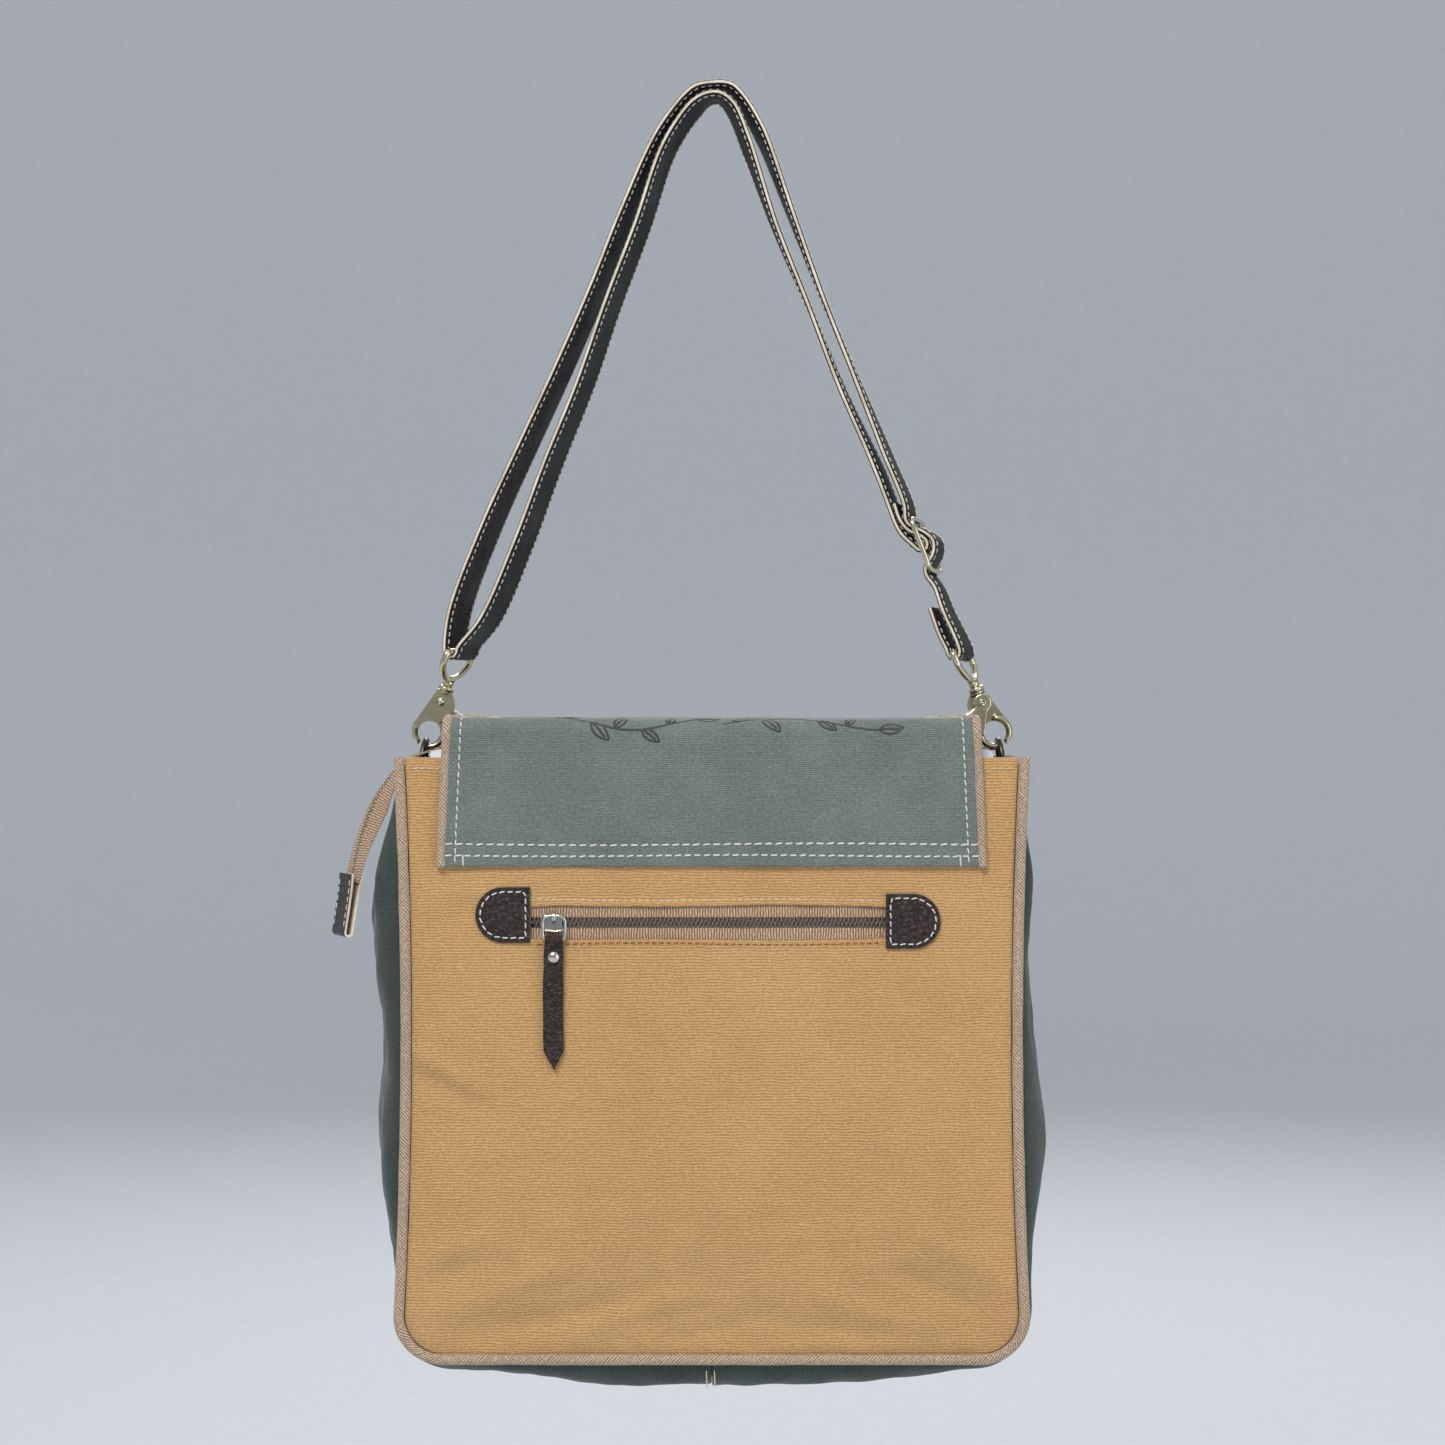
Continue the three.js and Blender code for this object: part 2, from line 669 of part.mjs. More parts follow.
// Everything on one side follows from its ring's bar.
function sideOf(side) {
  const outward = side === 'left' ? -1 : 1;
  const bar = new THREE.Vector3(outward * (bagWidth / 2 - ringInset), ringY, ringBarZ);
  const top = bar.clone().add(new THREE.Vector3(-outward * 2.2, 0, ringHeight));
  const down = tiltDown(side);
  const loop = top.clone().addScaledVector(down, -ringSeat);
  const eye = loop.clone().addScaledVector(down, -hookLength);
  const eyeBar = eye.clone().addScaledVector(down, -eyeBarRise);
  return { outward, bar, top, down, loop, eye, eyeBar };
}

const sides = { left: sideOf('left'), right: sideOf('right') };

function dRing(side) {
  const { outward, bar } = sides[side];
  const half = 12.5;
  const centre = (angle) => {
    const s = Math.sin(angle);
    const c = Math.cos(angle);
    const top = ringHeight * power(Math.max(s, 0), 0.8);
    return { x: half * power(c, s > 0 ? 0.8 : 0.5), y: top };
  };
  const ring = wireRing(ringWire, centre, 32, 7);
  ring.rotateX(Math.PI / 2);
  ring.rotateZ(Math.PI / 2);
  const mesh = add(`d_ring_${side}`, 'bronze', ring);
  mesh.position.copy(bar);
  mesh.rotation.y = -outward * Math.atan2(2.2, ringHeight);
}

// Webbing folded over the ring's bar, one ply each side of the gusset's top edge.
function ringTab(side) {
  const { bar } = sides[side];
  const thickness = 1.2;
  const radius = ringWire + 0.95 + thickness / 2;
  const low = ringBarZ - 22;
  const points = chain(
    [line(bar.x - radius, low, bar.x - radius, bar.z), 1],
    [arc(bar.x, bar.z, radius, 180, 0), 12],
    [line(bar.x + radius, bar.z, bar.x + radius, low), 1],
  );
  const route = frontRoute(points, ringY);
  add(`ring_tab_${side}`, 'gussetCanvas', ribbon(19, thickness, points.length - 1, route));
}

// The level direction that a strap's width and the bars it turns round share at one yaw.
function level(yaw) {
  return new THREE.Vector3(Math.sin(yaw * rad), Math.cos(yaw * rad), 0);
}

function hookEye(side) {
  const { eye, down } = sides[side];
  const centre = (angle) => {
    const s = Math.sin(angle);
    const c = Math.cos(angle);
    const width = eyeHalf * (1 + 0.3 * Math.min(s, 0));
    return { x: width * power(c, s > 0 ? 0.2 : 0.6), y: s > 0 ? eyeBarRise * power(s, 0.2) : 9 * s };
  };
  const ring = wireRing(eyeWire, centre, 40, 7);
  const up = down.clone().negate();
  const face = new THREE.Vector3().crossVectors(level(eyeYaw), up);
  ring.applyMatrix4(new THREE.Matrix4().makeBasis(level(eyeYaw), up, face).setPosition(eye));
  const barrel = new THREE.CylinderGeometry(3.1, 2.8, 5.2, 14);
  barrel.translate(0, -11.4, 0);
  const sideways = new THREE.Vector3().crossVectors(up, level(0));
  barrel.applyMatrix4(new THREE.Matrix4().makeBasis(sideways, up, level(0)).setPosition(eye));
  add(`hook_eye_${side}`, 'brass', join(ring, barrel));
}

const loopZ = -hookLength;
const plateBack = -3;
const plateFront = -1;

// A stretch of the loop as an outline between its inner and outer radius, angles in degrees.
function loopSector(from, to) {
  const shape = new THREE.Shape();
  shape.absarc(0, loopZ, loopInner, from * rad, to * rad, false);
  shape.absarc(0, loopZ, loopOuter, to * rad, from * rad, true);
  shape.closePath();
  return shape;
}

const gateEnd = 258;
const armEnd = 254.5;

function hookBody(group, side) {
  const outline = new THREE.Shape();
  outline.moveTo(-4.2, -16.5);
  outline.lineTo(-5.4, -21);
  outline.lineTo(-9.2, loopZ + 5);
  outline.absarc(0, loopZ, loopOuter, 165 * rad, 180 * rad, false);
  outline.absarc(0, loopZ, loopInner + 0.2, 180 * rad, 62 * rad, true);
  outline.lineTo(8.2, -27.5);
  outline.quadraticCurveTo(9.2, -20, 4.2, -16.5);
  outline.closePath();
  const back = plate(outline, plateBack, plateFront, 10);
  const arm = plate(loopSector(112, armEnd), plateBack, 3, 14);
  const collar = new THREE.CylinderGeometry(4.7, 4.2, 2.6, 20);
  collar.rotateX(Math.PI / 2);
  collar.translate(0, 0, -15.7);
  add(`hook_body_${side}`, 'brass', join(back, arm, collar), group);
}

function hookLever(group, side) {
  const front = 3;
  const rear = 0.5;
  const head = pin(0, -rivetDrop, 5.6, rear, front, 24);
  const neck = new THREE.Shape();
  neck.moveTo(5.2, -rivetDrop - 1);
  neck.lineTo(-1, -rivetDrop - 4.8);
  neck.lineTo(3.6, loopZ + 5.4);
  neck.absarc(0, loopZ, loopInner, 52 * rad, 8 * rad, true);
  neck.lineTo(loopOuter * Math.cos(8 * rad), loopZ + loopOuter * Math.sin(8 * rad));
  neck.quadraticCurveTo(9, -32, 5.2, -rivetDrop - 1);
  neck.closePath();
  const gate = plate(loopSector(gateEnd - 360, 12), -2.4, front, 14);
  const spur = new THREE.Shape();
  spur.moveTo(3, -rivetDrop + 1.4);
  spur.quadraticCurveTo(12, -rivetDrop - 3.8, 21, -rivetDrop - 2.6);
  spur.lineTo(21.4, -rivetDrop - 4.8);
  spur.quadraticCurveTo(12, -rivetDrop - 7.4, 3, -rivetDrop - 5);
  spur.closePath();
  add(`hook_lever_${side}`, 'brass',
    join(head, plate(neck, rear, front, 8), gate, plate(spur, rear, front, 6)), group);
  add(`lever_rivet_${side}`, 'brass', pin(0, -rivetDrop, 1.9, front + clear, front + 1.1, 16), group);
  const coil = new THREE.TorusGeometry(2.7, 0.45, 6, 20);
  coil.rotateX(Math.PI / 2);
  coil.translate(0, -0.25, -rivetDrop);
  add(`lever_spring_${side}`, 'steel', coil, group);
}

function hook(side) {
  const { eye: centre, outward } = sides[side];
  const frame = new THREE.Group();
  frame.position.copy(centre);
  frame.rotation.y = -outward * hookTilt[side] * rad;
  bag.add(frame);
  hookEye(side);
  const turned = new THREE.Group();
  turned.rotation.z = side === 'left' ? 0 : Math.PI;
  frame.add(turned);
  hookBody(turned, side);
  hookLever(turned, side);
}

// ---------------------------------------------------------------- strap and buckle
const buckle = {
  centre: new THREE.Vector3(0.862 * sides.right.eyeBar.x, 18.8, 0.807 * sides.right.eyeBar.z),
  along: new THREE.Vector3(0.356, 0, -0.934).normalize(),
  out: new THREE.Vector3(0.934, 0, 0.356).normalize(),
  yaw: 13,
  halfLength: 15.5,
  wire: 1.5,
};

// Route points are [x, z, yaw in degrees]. Strands of the legs are given as shares of the way
// from the hang point out and down to the eye bar (left) or to the buckle (right).
function onLeft(out, drop, yaw) {
  const { eyeBar } = sides.left;
  return [eyeBar.x * out, eyeBar.z * drop, yaw];
}

function onRight(out, drop, yaw) {
  return [buckle.centre.x * out, buckle.centre.z * drop, yaw];
}

function atBuckle(along, out) {
  const x = buckle.centre.x + buckle.along.x * along + buckle.out.x * out;
  const z = buckle.centre.z + buckle.along.z * along + buckle.out.z * out;
  return [x, z, buckle.yaw];
}

function roundBar(side, angle, yaw) {
  const { eyeBar } = sides[side];
  const radius = eyeWire + 0.6 + strapThickness / 2;
  return [eyeBar.x + radius * Math.cos(angle * rad), eyeBar.z + radius * Math.sin(angle * rad), yaw];
}

const strapRoute = [
  // Sewn end: back beside itself, then round the buckle's middle bar.
  atBuckle(-27, -6.2), atBuckle(-17, -6.4), atBuckle(-10, -3.9), atBuckle(-4.6, 1.6),
  atBuckle(-1, 3.4), atBuckle(2.5, 2.4), atBuckle(3.5, 0), atBuckle(2.5, -2.4),
  atBuckle(-1.5, -4.6), atBuckle(-9, -8.3), atBuckle(-17, -9.6), atBuckle(-27, -9.5),
  // Inner strand, up the right leg, over the hang point and down the left leg.
  onRight(0.776, 0.825, 13), onRight(0.604, 0.646, 8), onRight(0.454, 0.467, 4),
  onRight(0.297, 0.287, 0), onRight(0.165, 0.107, -7), [10.9, -4.8, -6], [4, 1.5, 0],
  [-3, 0.6, 6], [-9.7, -4.9, 12],
  onLeft(0.172, 0.087, 12), onLeft(0.281, 0.231, 13), onLeft(0.4, 0.374, 14), onLeft(0.508, 0.517, 15),
  onLeft(0.635, 0.66, 16), onLeft(0.752, 0.803, 17), onLeft(0.885, 0.942, 18),
  // Round the left eye's bar.
  roundBar('left', 20, 18), roundBar('left', -30, 18), roundBar('left', -90, 18),
  roundBar('left', -150, 18), roundBar('left', 180, 18),
  // Outer strand, back up the left leg and down the right.
  onLeft(1.008, 0.93, 18), onLeft(0.88, 0.773, 17), onLeft(0.738, 0.63, 16), onLeft(0.593, 0.487, 15),
  onLeft(0.457, 0.344, 14), onLeft(0.332, 0.2, 13), onLeft(0.187, 0.057, 12), [-8, 4.9, 9], [1, 7.2, 0],
  [9.5, 6.4, -4], [16, 0, -6], onRight(0.227, 0.078, -7), onRight(0.371, 0.258, -1),
  onRight(0.514, 0.438, 4), onRight(0.667, 0.617, 7), onRight(0.821, 0.796, 12),
  // Woven through the buckle, under its end bars and over the middle one.
  atBuckle(-24, -1.2), atBuckle(-16.5, -3.4), atBuckle(-13, -2.6), atBuckle(-6, 4), atBuckle(0, 6.9),
  atBuckle(6.5, 4.6), atBuckle(12.5, -2.2), atBuckle(16.5, -3.7), atBuckle(25, -1.6),
  // Down to the right eye's bar, round it and back up beside itself.
  [sides.right.eyeBar.x - 7.5, sides.right.eyeBar.z + 25, 15], roundBar('right', 25, 18),
  roundBar('right', -30, 18), roundBar('right', -90, 18), roundBar('right', -150, 18),
  roundBar('right', 175, 18),
  [sides.right.eyeBar.x - 8.5, sides.right.eyeBar.z + 10, 17],
  [sides.right.eyeBar.x - 14.2, sides.right.eyeBar.z + 25, 15],
];

function strapDepth(z) {
  return strapApexY + ((ringY - strapApexY) * z) / sides.left.eyeBar.z;
}

function strap() {
  const route = new THREE.CatmullRomCurve3(
    strapRoute.map(([x, z]) => new THREE.Vector3(x, strapDepth(z), z)), false, 'centripetal');
  const last = strapRoute.length - 1;
  const station = (t) => {
    const k = Math.min(Math.floor(t * last), last - 1);
    const turn = THREE.MathUtils.lerp(strapRoute[k][2], strapRoute[k + 1][2], t * last - k);
    const point = route.getPoint(t);
    const tangent = route.getTangent(t);
    const across = level(turn);
    const out = new THREE.Vector3().crossVectors(across, tangent).normalize();
    return { point, across, out };
  };
  add('strap', 'leather', ribbon(strapWidth, strapThickness, last * 3, station));
}

function slideBuckle() {
  const place = new THREE.Matrix4().makeBasis(level(buckle.yaw), buckle.along, buckle.out.clone().negate());
  place.setPosition(buckle.centre);
  const half = strapWidth / 2 + 1.6 + buckle.wire;
  const rectangular = (angle) => ({
    x: half * power(Math.cos(angle), 0.25),
    y: buckle.halfLength * power(Math.sin(angle), 0.25),
  });
  const frame = wireRing(buckle.wire, rectangular, 40, 7);
  frame.applyMatrix4(place);
  add('buckle_frame', 'brass', frame);
  const bar = new THREE.CylinderGeometry(buckle.wire, buckle.wire, 2 * (half - buckle.wire - clear), 12);
  bar.rotateZ(Math.PI / 2);
  bar.applyMatrix4(place);
  add('buckle_bar', 'brass', bar);
}

// ---------------------------------------------------------------- the whole bag
panels();
piping();
gussets();
inside();
mainZip();
mainSlider();
zipTail();
pocketZip();
pocketSlider();
pocketPull();
flap();
snap();
for (const side of ['left', 'right']) {
  dRing(side);
  ringTab(side);
  hook(side);
}
strap();
slideBuckle();
bag.position.y = -strapApexY;

export default bag;
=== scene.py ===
import math

import bmesh
import bpy
import numpy as np
from mathutils import Matrix, Vector


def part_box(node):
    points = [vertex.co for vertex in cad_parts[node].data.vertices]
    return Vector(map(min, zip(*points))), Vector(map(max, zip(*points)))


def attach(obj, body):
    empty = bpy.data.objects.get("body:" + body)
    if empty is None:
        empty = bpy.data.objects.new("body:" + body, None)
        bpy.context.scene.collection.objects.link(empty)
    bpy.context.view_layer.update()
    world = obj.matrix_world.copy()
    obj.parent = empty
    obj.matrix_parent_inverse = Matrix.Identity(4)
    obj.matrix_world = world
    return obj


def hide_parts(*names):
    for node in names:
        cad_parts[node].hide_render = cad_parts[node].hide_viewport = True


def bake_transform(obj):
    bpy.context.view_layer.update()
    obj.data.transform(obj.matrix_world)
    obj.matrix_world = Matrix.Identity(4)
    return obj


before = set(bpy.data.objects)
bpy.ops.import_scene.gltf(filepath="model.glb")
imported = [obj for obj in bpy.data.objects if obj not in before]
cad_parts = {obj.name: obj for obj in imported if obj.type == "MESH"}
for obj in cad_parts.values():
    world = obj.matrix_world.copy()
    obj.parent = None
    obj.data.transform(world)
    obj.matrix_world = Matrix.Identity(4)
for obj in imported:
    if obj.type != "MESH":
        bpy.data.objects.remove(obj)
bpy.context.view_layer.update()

# The bag is laid out in millimetres from its own middle plane, y = 0, as the CAD does.
# The frame's origin is the hang point, so every point moves by MIDDLE on its way into a mesh.
MM = 0.001
MIDDLE = np.array([0.0, -24.0, 0.0])
TAU = 2 * math.pi

TOP, BOTTOM = -374.0, -708.0      # top edge of the panels, bottom of the piping
HALF, CORNER, WAIST = 175.0, 27.0, 4.0
BEND = BOTTOM + CORNER
FACE = 43.5                       # outer face of the panels
PIPE_R = 3.0
GUSSET_HALF = 38.7
SLOT = (-100.5, 96.5, -473.5, -456.5)
FLAP_TOP = TOP + 20.5
FLAP_HALF = 143.5
TOOTH, TOOTH_R = 1.15, 0.55       # a zip's teeth: spacing and thickness


# ---------------------------------------------------------------- numbers
def ease(t):
    t = np.clip(t, 0.0, 1.0)
    return t * t * (3 - 2 * t)


def ripple(a, b, seed, size, waves=8):
    """A smooth random field over two coordinates, about -1 to 1, features about size across."""
    rng = np.random.default_rng(seed)
    total = 0.0
    for _ in range(waves):
        turn, phase = rng.uniform(0, TAU, 2)
        rate = TAU / size * rng.uniform(0.55, 1.5)
        total = total + np.sin((a * math.cos(turn) + b * math.sin(turn)) * rate + phase)
    return total / math.sqrt(waves)


def crease(a, b, start, end, width, height):
    """A soft ridge along the line from start to end, fading at both ends."""
    start, end = np.array(start, float), np.array(end, float)
    d = end - start
    length = np.linalg.norm(d)
    d /= length
    along = (a - start[0]) * d[0] + (b - start[1]) * d[1]
    off = (a - start[0]) * -d[1] + (b - start[1]) * d[0]
    ends = ease(along / (0.35 * length)) * ease((length - along) / (0.35 * length))
    return height * ends * np.exp(-((off / width) ** 2))


def half_width(z, inset):
    """Half the bag's width at height z, that far in from the outside of the piping."""
    t = np.clip((TOP - z) / (TOP - BEND), 0, 1)
    straight = HALF - inset - 4 * WAIST * t * (1 - t)
    r = CORNER - inset
    fall = np.clip(BEND - z, 0, r)
    return np.where(z >= BEND, straight, HALF - CORNER + np.sqrt(np.maximum(r * r - fall * fall, 0)))


def outline(inset, top=TOP, side=60, corner=16, base=40):
    """Down the left side, round the bottom and up the right, in x and z."""
    z = np.linspace(top, BEND, side)
    left = np.stack([-half_width(z, inset), z], 1)
    turn = np.radians(np.linspace(180, 270, corner))[1:]
    r = CORNER - inset
    round_ = np.stack([-(HALF - CORNER) + r * np.cos(turn), BEND + r * np.sin(turn)], 1)
    run = np.linspace(-(HALF - CORNER), 0, base)[1:]
    flat = np.stack([run, np.full(len(run), BOTTOM + inset)], 1)
    half = np.concatenate([left, round_, flat])
    mirror = half[:-1][::-1] * [-1, 1]
    return np.concatenate([half, mirror])


def lengths(points):
    return np.concatenate([[0], np.cumsum(np.linalg.norm(np.diff(points, axis=0), axis=1))])


def unit(v):
    return v / np.maximum(np.linalg.norm(v, axis=-1, keepdims=True), 1e-12)


def resample(points, count, *others):
    """The same line with evenly spaced points, and each other array carried along."""
    s = lengths(points)
    at = np.linspace(0, s[-1], count)
    pick = lambda values: np.stack([np.interp(at, s, values[:, k]) for k in range(values.shape[1])], 1)
    return [pick(np.asarray(v, float)) for v in (points, *others)]


# ---------------------------------------------------------------- meshes
def grid_faces(rows, cols, wrap_rows=False, wrap_cols=False, keep=None):
    i, j = np.meshgrid(
        np.arange(rows if wrap_rows else rows - 1),
        np.arange(cols if wrap_cols else cols - 1),
        indexing="ij",
    )
    if keep is not None:
        chosen = keep[: i.shape[0], : i.shape[1]]
        i, j = i[chosen], j[chosen]
    i2, j2 = (i + 1) % rows, (j + 1) % cols
    faces = np.stack([i * cols + j, i2 * cols + j, i2 * cols + j2, i * cols + j2], -1)
    return faces.reshape(-1, 4)


def piece(name, points, faces, materials, cloth=None, body="bag", replaces=(), slot=None, index=None):
    """A named object from points in millimetres. cloth holds each point's place on the flat cloth."""
    points = np.asarray(points, float).reshape(-1, 3)
    mesh = bpy.data.meshes.new(name)
    mesh.from_pydata(((points + MIDDLE) * MM).tolist(), [], [list(map(int, f)) for f in faces])
    flat = points if cloth is None else np.asarray(cloth, float).reshape(len(points), -1)
    flat = np.pad(flat, ((0, 0), (0, 3 - flat.shape[1]))) * MM
    mesh.attributes.new("cloth", "FLOAT_VECTOR", "POINT").data.foreach_set("vector", flat.ravel())
    for material in materials:
        mesh.materials.append(material)
    if index is not None:
        mesh.polygons.foreach_set("material_index", np.asarray(index, np.int32))
    mesh.shade_smooth()
    mesh.validate()
    obj = bpy.data.objects.new(name, mesh)
    bpy.context.scene.collection.objects.link(obj)
    if body:
        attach(obj, body)
    if replaces:
        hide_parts(*replaces)
    return obj


def outward(obj):
    """Turns the faces of a closed piece outwards."""
    bm = bmesh.new()
    bm.from_mesh(obj.data)
    bmesh.ops.recalc_face_normals(bm, faces=bm.faces)
    bm.to_mesh(obj.data)
    bm.free()
    return obj


def thicken(obj, thickness, levels=1):
    """Gives a one-sided cloth its thickness behind the drawn face, with soft edges."""
    solid = obj.modifiers.new("thickness", "SOLIDIFY")
    solid.thickness = thickness * MM
    solid.offset = -1
    solid.use_even_offset = True
    if levels:
        soft = obj.modifiers.new("soft", "SUBSURF")
        soft.levels = soft.render_levels = levels
    return obj


def cloth_piece(name, grid, cloth, thickness, material, flip=False, keep=None, levels=1, **more):
    rows, cols = grid.shape[:2]
    faces = grid_faces(rows, cols, keep=keep)
    if flip:
        faces = faces[:, ::-1]
    return thicken(piece(name, grid, faces, [material], cloth, **more), thickness, levels)


def stations(points, across):
    """At each point of a line, the direction across it and the direction out of its face."""
    tangent = unit(np.gradient(points, axis=0))
    across = np.broadcast_to(np.asarray(across, float), points.shape)
    across = unit(across - (across * tangent).sum(1, keepdims=True) * tangent)
    return across, np.cross(across, tangent)


def sweep(points, across, out, section):
    """Moves a section of [across, out] pairs along a line: rows by section points."""
    section = np.asarray(section, float)
    if section.ndim == 2:
        section = np.broadcast_to(section, (len(points), *section.shape))
    return (
        points[:, None]
        + across[:, None] * section[..., :1]
        + out[:, None] * section[..., 1:2]
    )


def circle(radius, sides=16):
    turn = np.arange(sides) / sides * TAU
    return np.stack([radius * np.cos(turn), radius * np.sin(turn)], 1)


def rounded_strip(width, thickness, around=3):
    """A flat strap's section: full edges on both sides, listed from the back of the left edge."""
    r = thickness / 2
    x = width / 2 - r
    right = [(x + r * math.cos(a), r * math.sin(a)) for a in np.linspace(-1, 1, 2 * around + 1) * math.pi / 2]
    left = [(-px, -py) for px, py in right]
    inner = np.linspace(-x, x, 8)[1:-1]
    bottom = [(v, -r) for v in inner]
    top = [(-v, r) for v in inner]
    return np.array(bottom + right + top + left)


def tube(name, points, across, radius, material, sides=16, closed=False, wobble=0.0, **more):
    a, o = stations(points, across)
    if closed:
        t = unit(np.roll(points, -1, 0) - np.roll(points, 1, 0))
        a = np.broadcast_to(np.asarray(across, float), points.shape)
        a = unit(a - (a * t).sum(1, keepdims=True) * t)
        o = np.cross(a, t)
    r = np.broadcast_to(np.asarray(radius, float), (len(points),)).copy()
    s = lengths(points)
    if wobble:
        r += wobble * ripple(s, s * 0, 5, 23)
    section = circle(1.0, sides)[None] * r[:, None, None]
    grid = sweep(points, a, o, section)
    n = len(points)
    faces = grid_faces(n, sides, wrap_rows=closed, wrap_cols=True).tolist()
    if not closed:
        faces += [list(range(sides)), list(range((n - 1) * sides, n * sides))]
    around = np.arange(sides) / sides * TAU * float(np.mean(r))
    flat = np.stack(np.broadcast_arrays(s[:, None] + around[None], s[:, None] - around[None]), -1) * 0.707
    return outward(piece(name, grid, faces, [material], flat, **more))


def plate(name, shape, y0, y1, bevel, material, segments=3, **more):
    """A flat outline in x and z, thick from y0 to y1, with rounded edges."""
    shape = np.asarray(shape, float)
    n = len(shape)
    points = np.concatenate([np.insert(shape, 1, y, axis=1) for y in (y0, y1)])
    sides = [[i, (i + 1) % n, n + (i + 1) % n, n + i] for i in range(n)]
    faces = sides + [list(range(n))[::-1], list(range(n, 2 * n))]
    obj = outward(piece(name, points, faces, [material], points[:, [0, 2, 1]], **more))
    if bevel:
        soft = obj.modifiers.new("edge", "BEVEL")
        soft.width = bevel * MM
        soft.segments = segments
        soft.limit_method = "ANGLE"
        soft.harden_normals = True
    return obj


def lathe(profile, origin, axis, sides=28):
    """Points and faces of [radius, height] pairs turned about an axis."""
    axis = unit(np.asarray(axis, float))
    side = unit(np.cross(axis, [0.3, 1, 0.2]))
    other = np.cross(axis, side)
    turn = np.arange(sides) / sides * TAU
    ring = np.cos(turn)[:, None] * side + np.sin(turn)[:, None] * other
    profile = np.asarray(profile, float)
    grid = np.asarray(origin) + profile[:, 1][:, None, None] * axis + profile[:, 0][:, None, None] * ring
    n = len(profile)
    faces = grid_faces(n, sides, wrap_cols=True).tolist()
    faces += [list(range(sides)), list(range((n - 1) * sides, n * sides))]
    return grid.reshape(-1, 3), faces


def joined(parts):
    points, faces, start = [], [], 0
    for p, f in parts:
        p = np.asarray(p).reshape(-1, 3)
        points.append(p)
        faces += [[k + start for k in face] for face in f]
        start += len(p)
    return np.concatenate(points), faces


def cast(node, voxel, rounds, material, body, name=None):
    """A CAD node's shape again, with its edges rounded as on a cast piece."""
    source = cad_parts[node].data
    mesh = source.copy()
    mesh.name = f"{node}_look"
    mesh.materials.clear()
    mesh.materials.append(material)
    obj = bpy.data.objects.new(name or f"{node}_look", mesh)
    bpy.context.scene.collection.objects.link(obj)
    remesh = obj.modifiers.new("cast", "REMESH")
    remesh.mode = "VOXEL"
    remesh.voxel_size = voxel * MM
    remesh.use_smooth_shade = True
    soften = obj.modifiers.new("soften", "SMOOTH")
    soften.factor = 0.6
    soften.iterations = rounds
    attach(obj, body)
    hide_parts(node)
    return obj


# ---------------------------------------------------------------- threads
def stitch_row(points, normals, pitch=4.2, fill=0.7, radius=0.36, lift=0.12, slant=0.18):
    """One short thread per stitch along a line on a surface."""
    s = lengths(points)
    count = max(1, int(s[-1] / pitch))
    pitch = s[-1] / count
    mid = (np.arange(count) + 0.5) * pitch
    reach = pitch * fill / 2

    def at(values, where):
        return np.stack([np.interp(where, s, values[:, k]) for k in range(3)], 1)

    a, b = at(points, mid - reach), at(points, mid + reach)
    n = unit(at(normals, mid))
    d = unit(b - a)
    side = unit(np.cross(n, d))
    n = np.cross(d, side)
    lean = slant * (1 + 0.8 * np.sin(np.arange(count) * 2.4))[:, None]
    a, b = a - side * lean, b + side * lean
    u = np.array([0.0, 0.09, 0.3, 0.7, 0.91, 1.0])
    rise = np.array([-0.9, 0.15, 1.0, 1.0, 0.15, -0.9]) * radius * 0.55 + lift
    thick = np.array([0.6, 0.95, 1.0, 1.0, 0.95, 0.6]) * radius
    ring = circle(1.0, 6)
    centre = a[:, None] + (b - a)[:, None] * u[None, :, None] + n[:, None] * rise[None, :, None]
    grid = (
        centre[:, :, None]
        + side[:, None, None] * (ring[:, 0] * 1.15)[None, None, :, None] * thick[None, :, None, None]
        + n[:, None, None] * ring[:, 1][None, None, :, None] * thick[None, :, None, None]
    )
    one = grid_faces(6, 6, wrap_cols=True).tolist() + [list(range(6)), list(range(30, 36))]
    faces = [[v + 36 * k for v in face] for k in range(count) for face in one]
    along = np.broadcast_to((u * 2 * reach)[None, :, None], grid.shape[:3])
    around = np.broadcast_to((np.arange(6) / 6 * TAU * radius)[None, None, :], grid.shape[:3])
    return grid.reshape(-1, 3), faces, np.stack([along, around], -1).reshape(-1, 2)


def threads(name, rows, material, body="bag"):
    """All the stitch rows of one kind as one piece. A row is (points, normals, options)."""
    points, faces, flat, start = [], [], [], 0
    for line, normals, options in rows:
        p, f, c = stitch_row(np.asarray(line, float), np.asarray(normals, float), **options)
        points.append(p)
        flat.append(c)
        faces += [[k + start for k in face] for face in f]
        start += len(p)
    return outward(piece(name, np.concatenate(points), faces, [material], np.concatenate(flat), body=body))


# ---------------------------------------------------------------- materials
def srgb(r, g, b):
    return [(v / 255 / 12.92) if v <= 10 else ((v / 255 + 0.055) / 1.055) ** 2.4 for v in (r, g, b)] + [1.0]


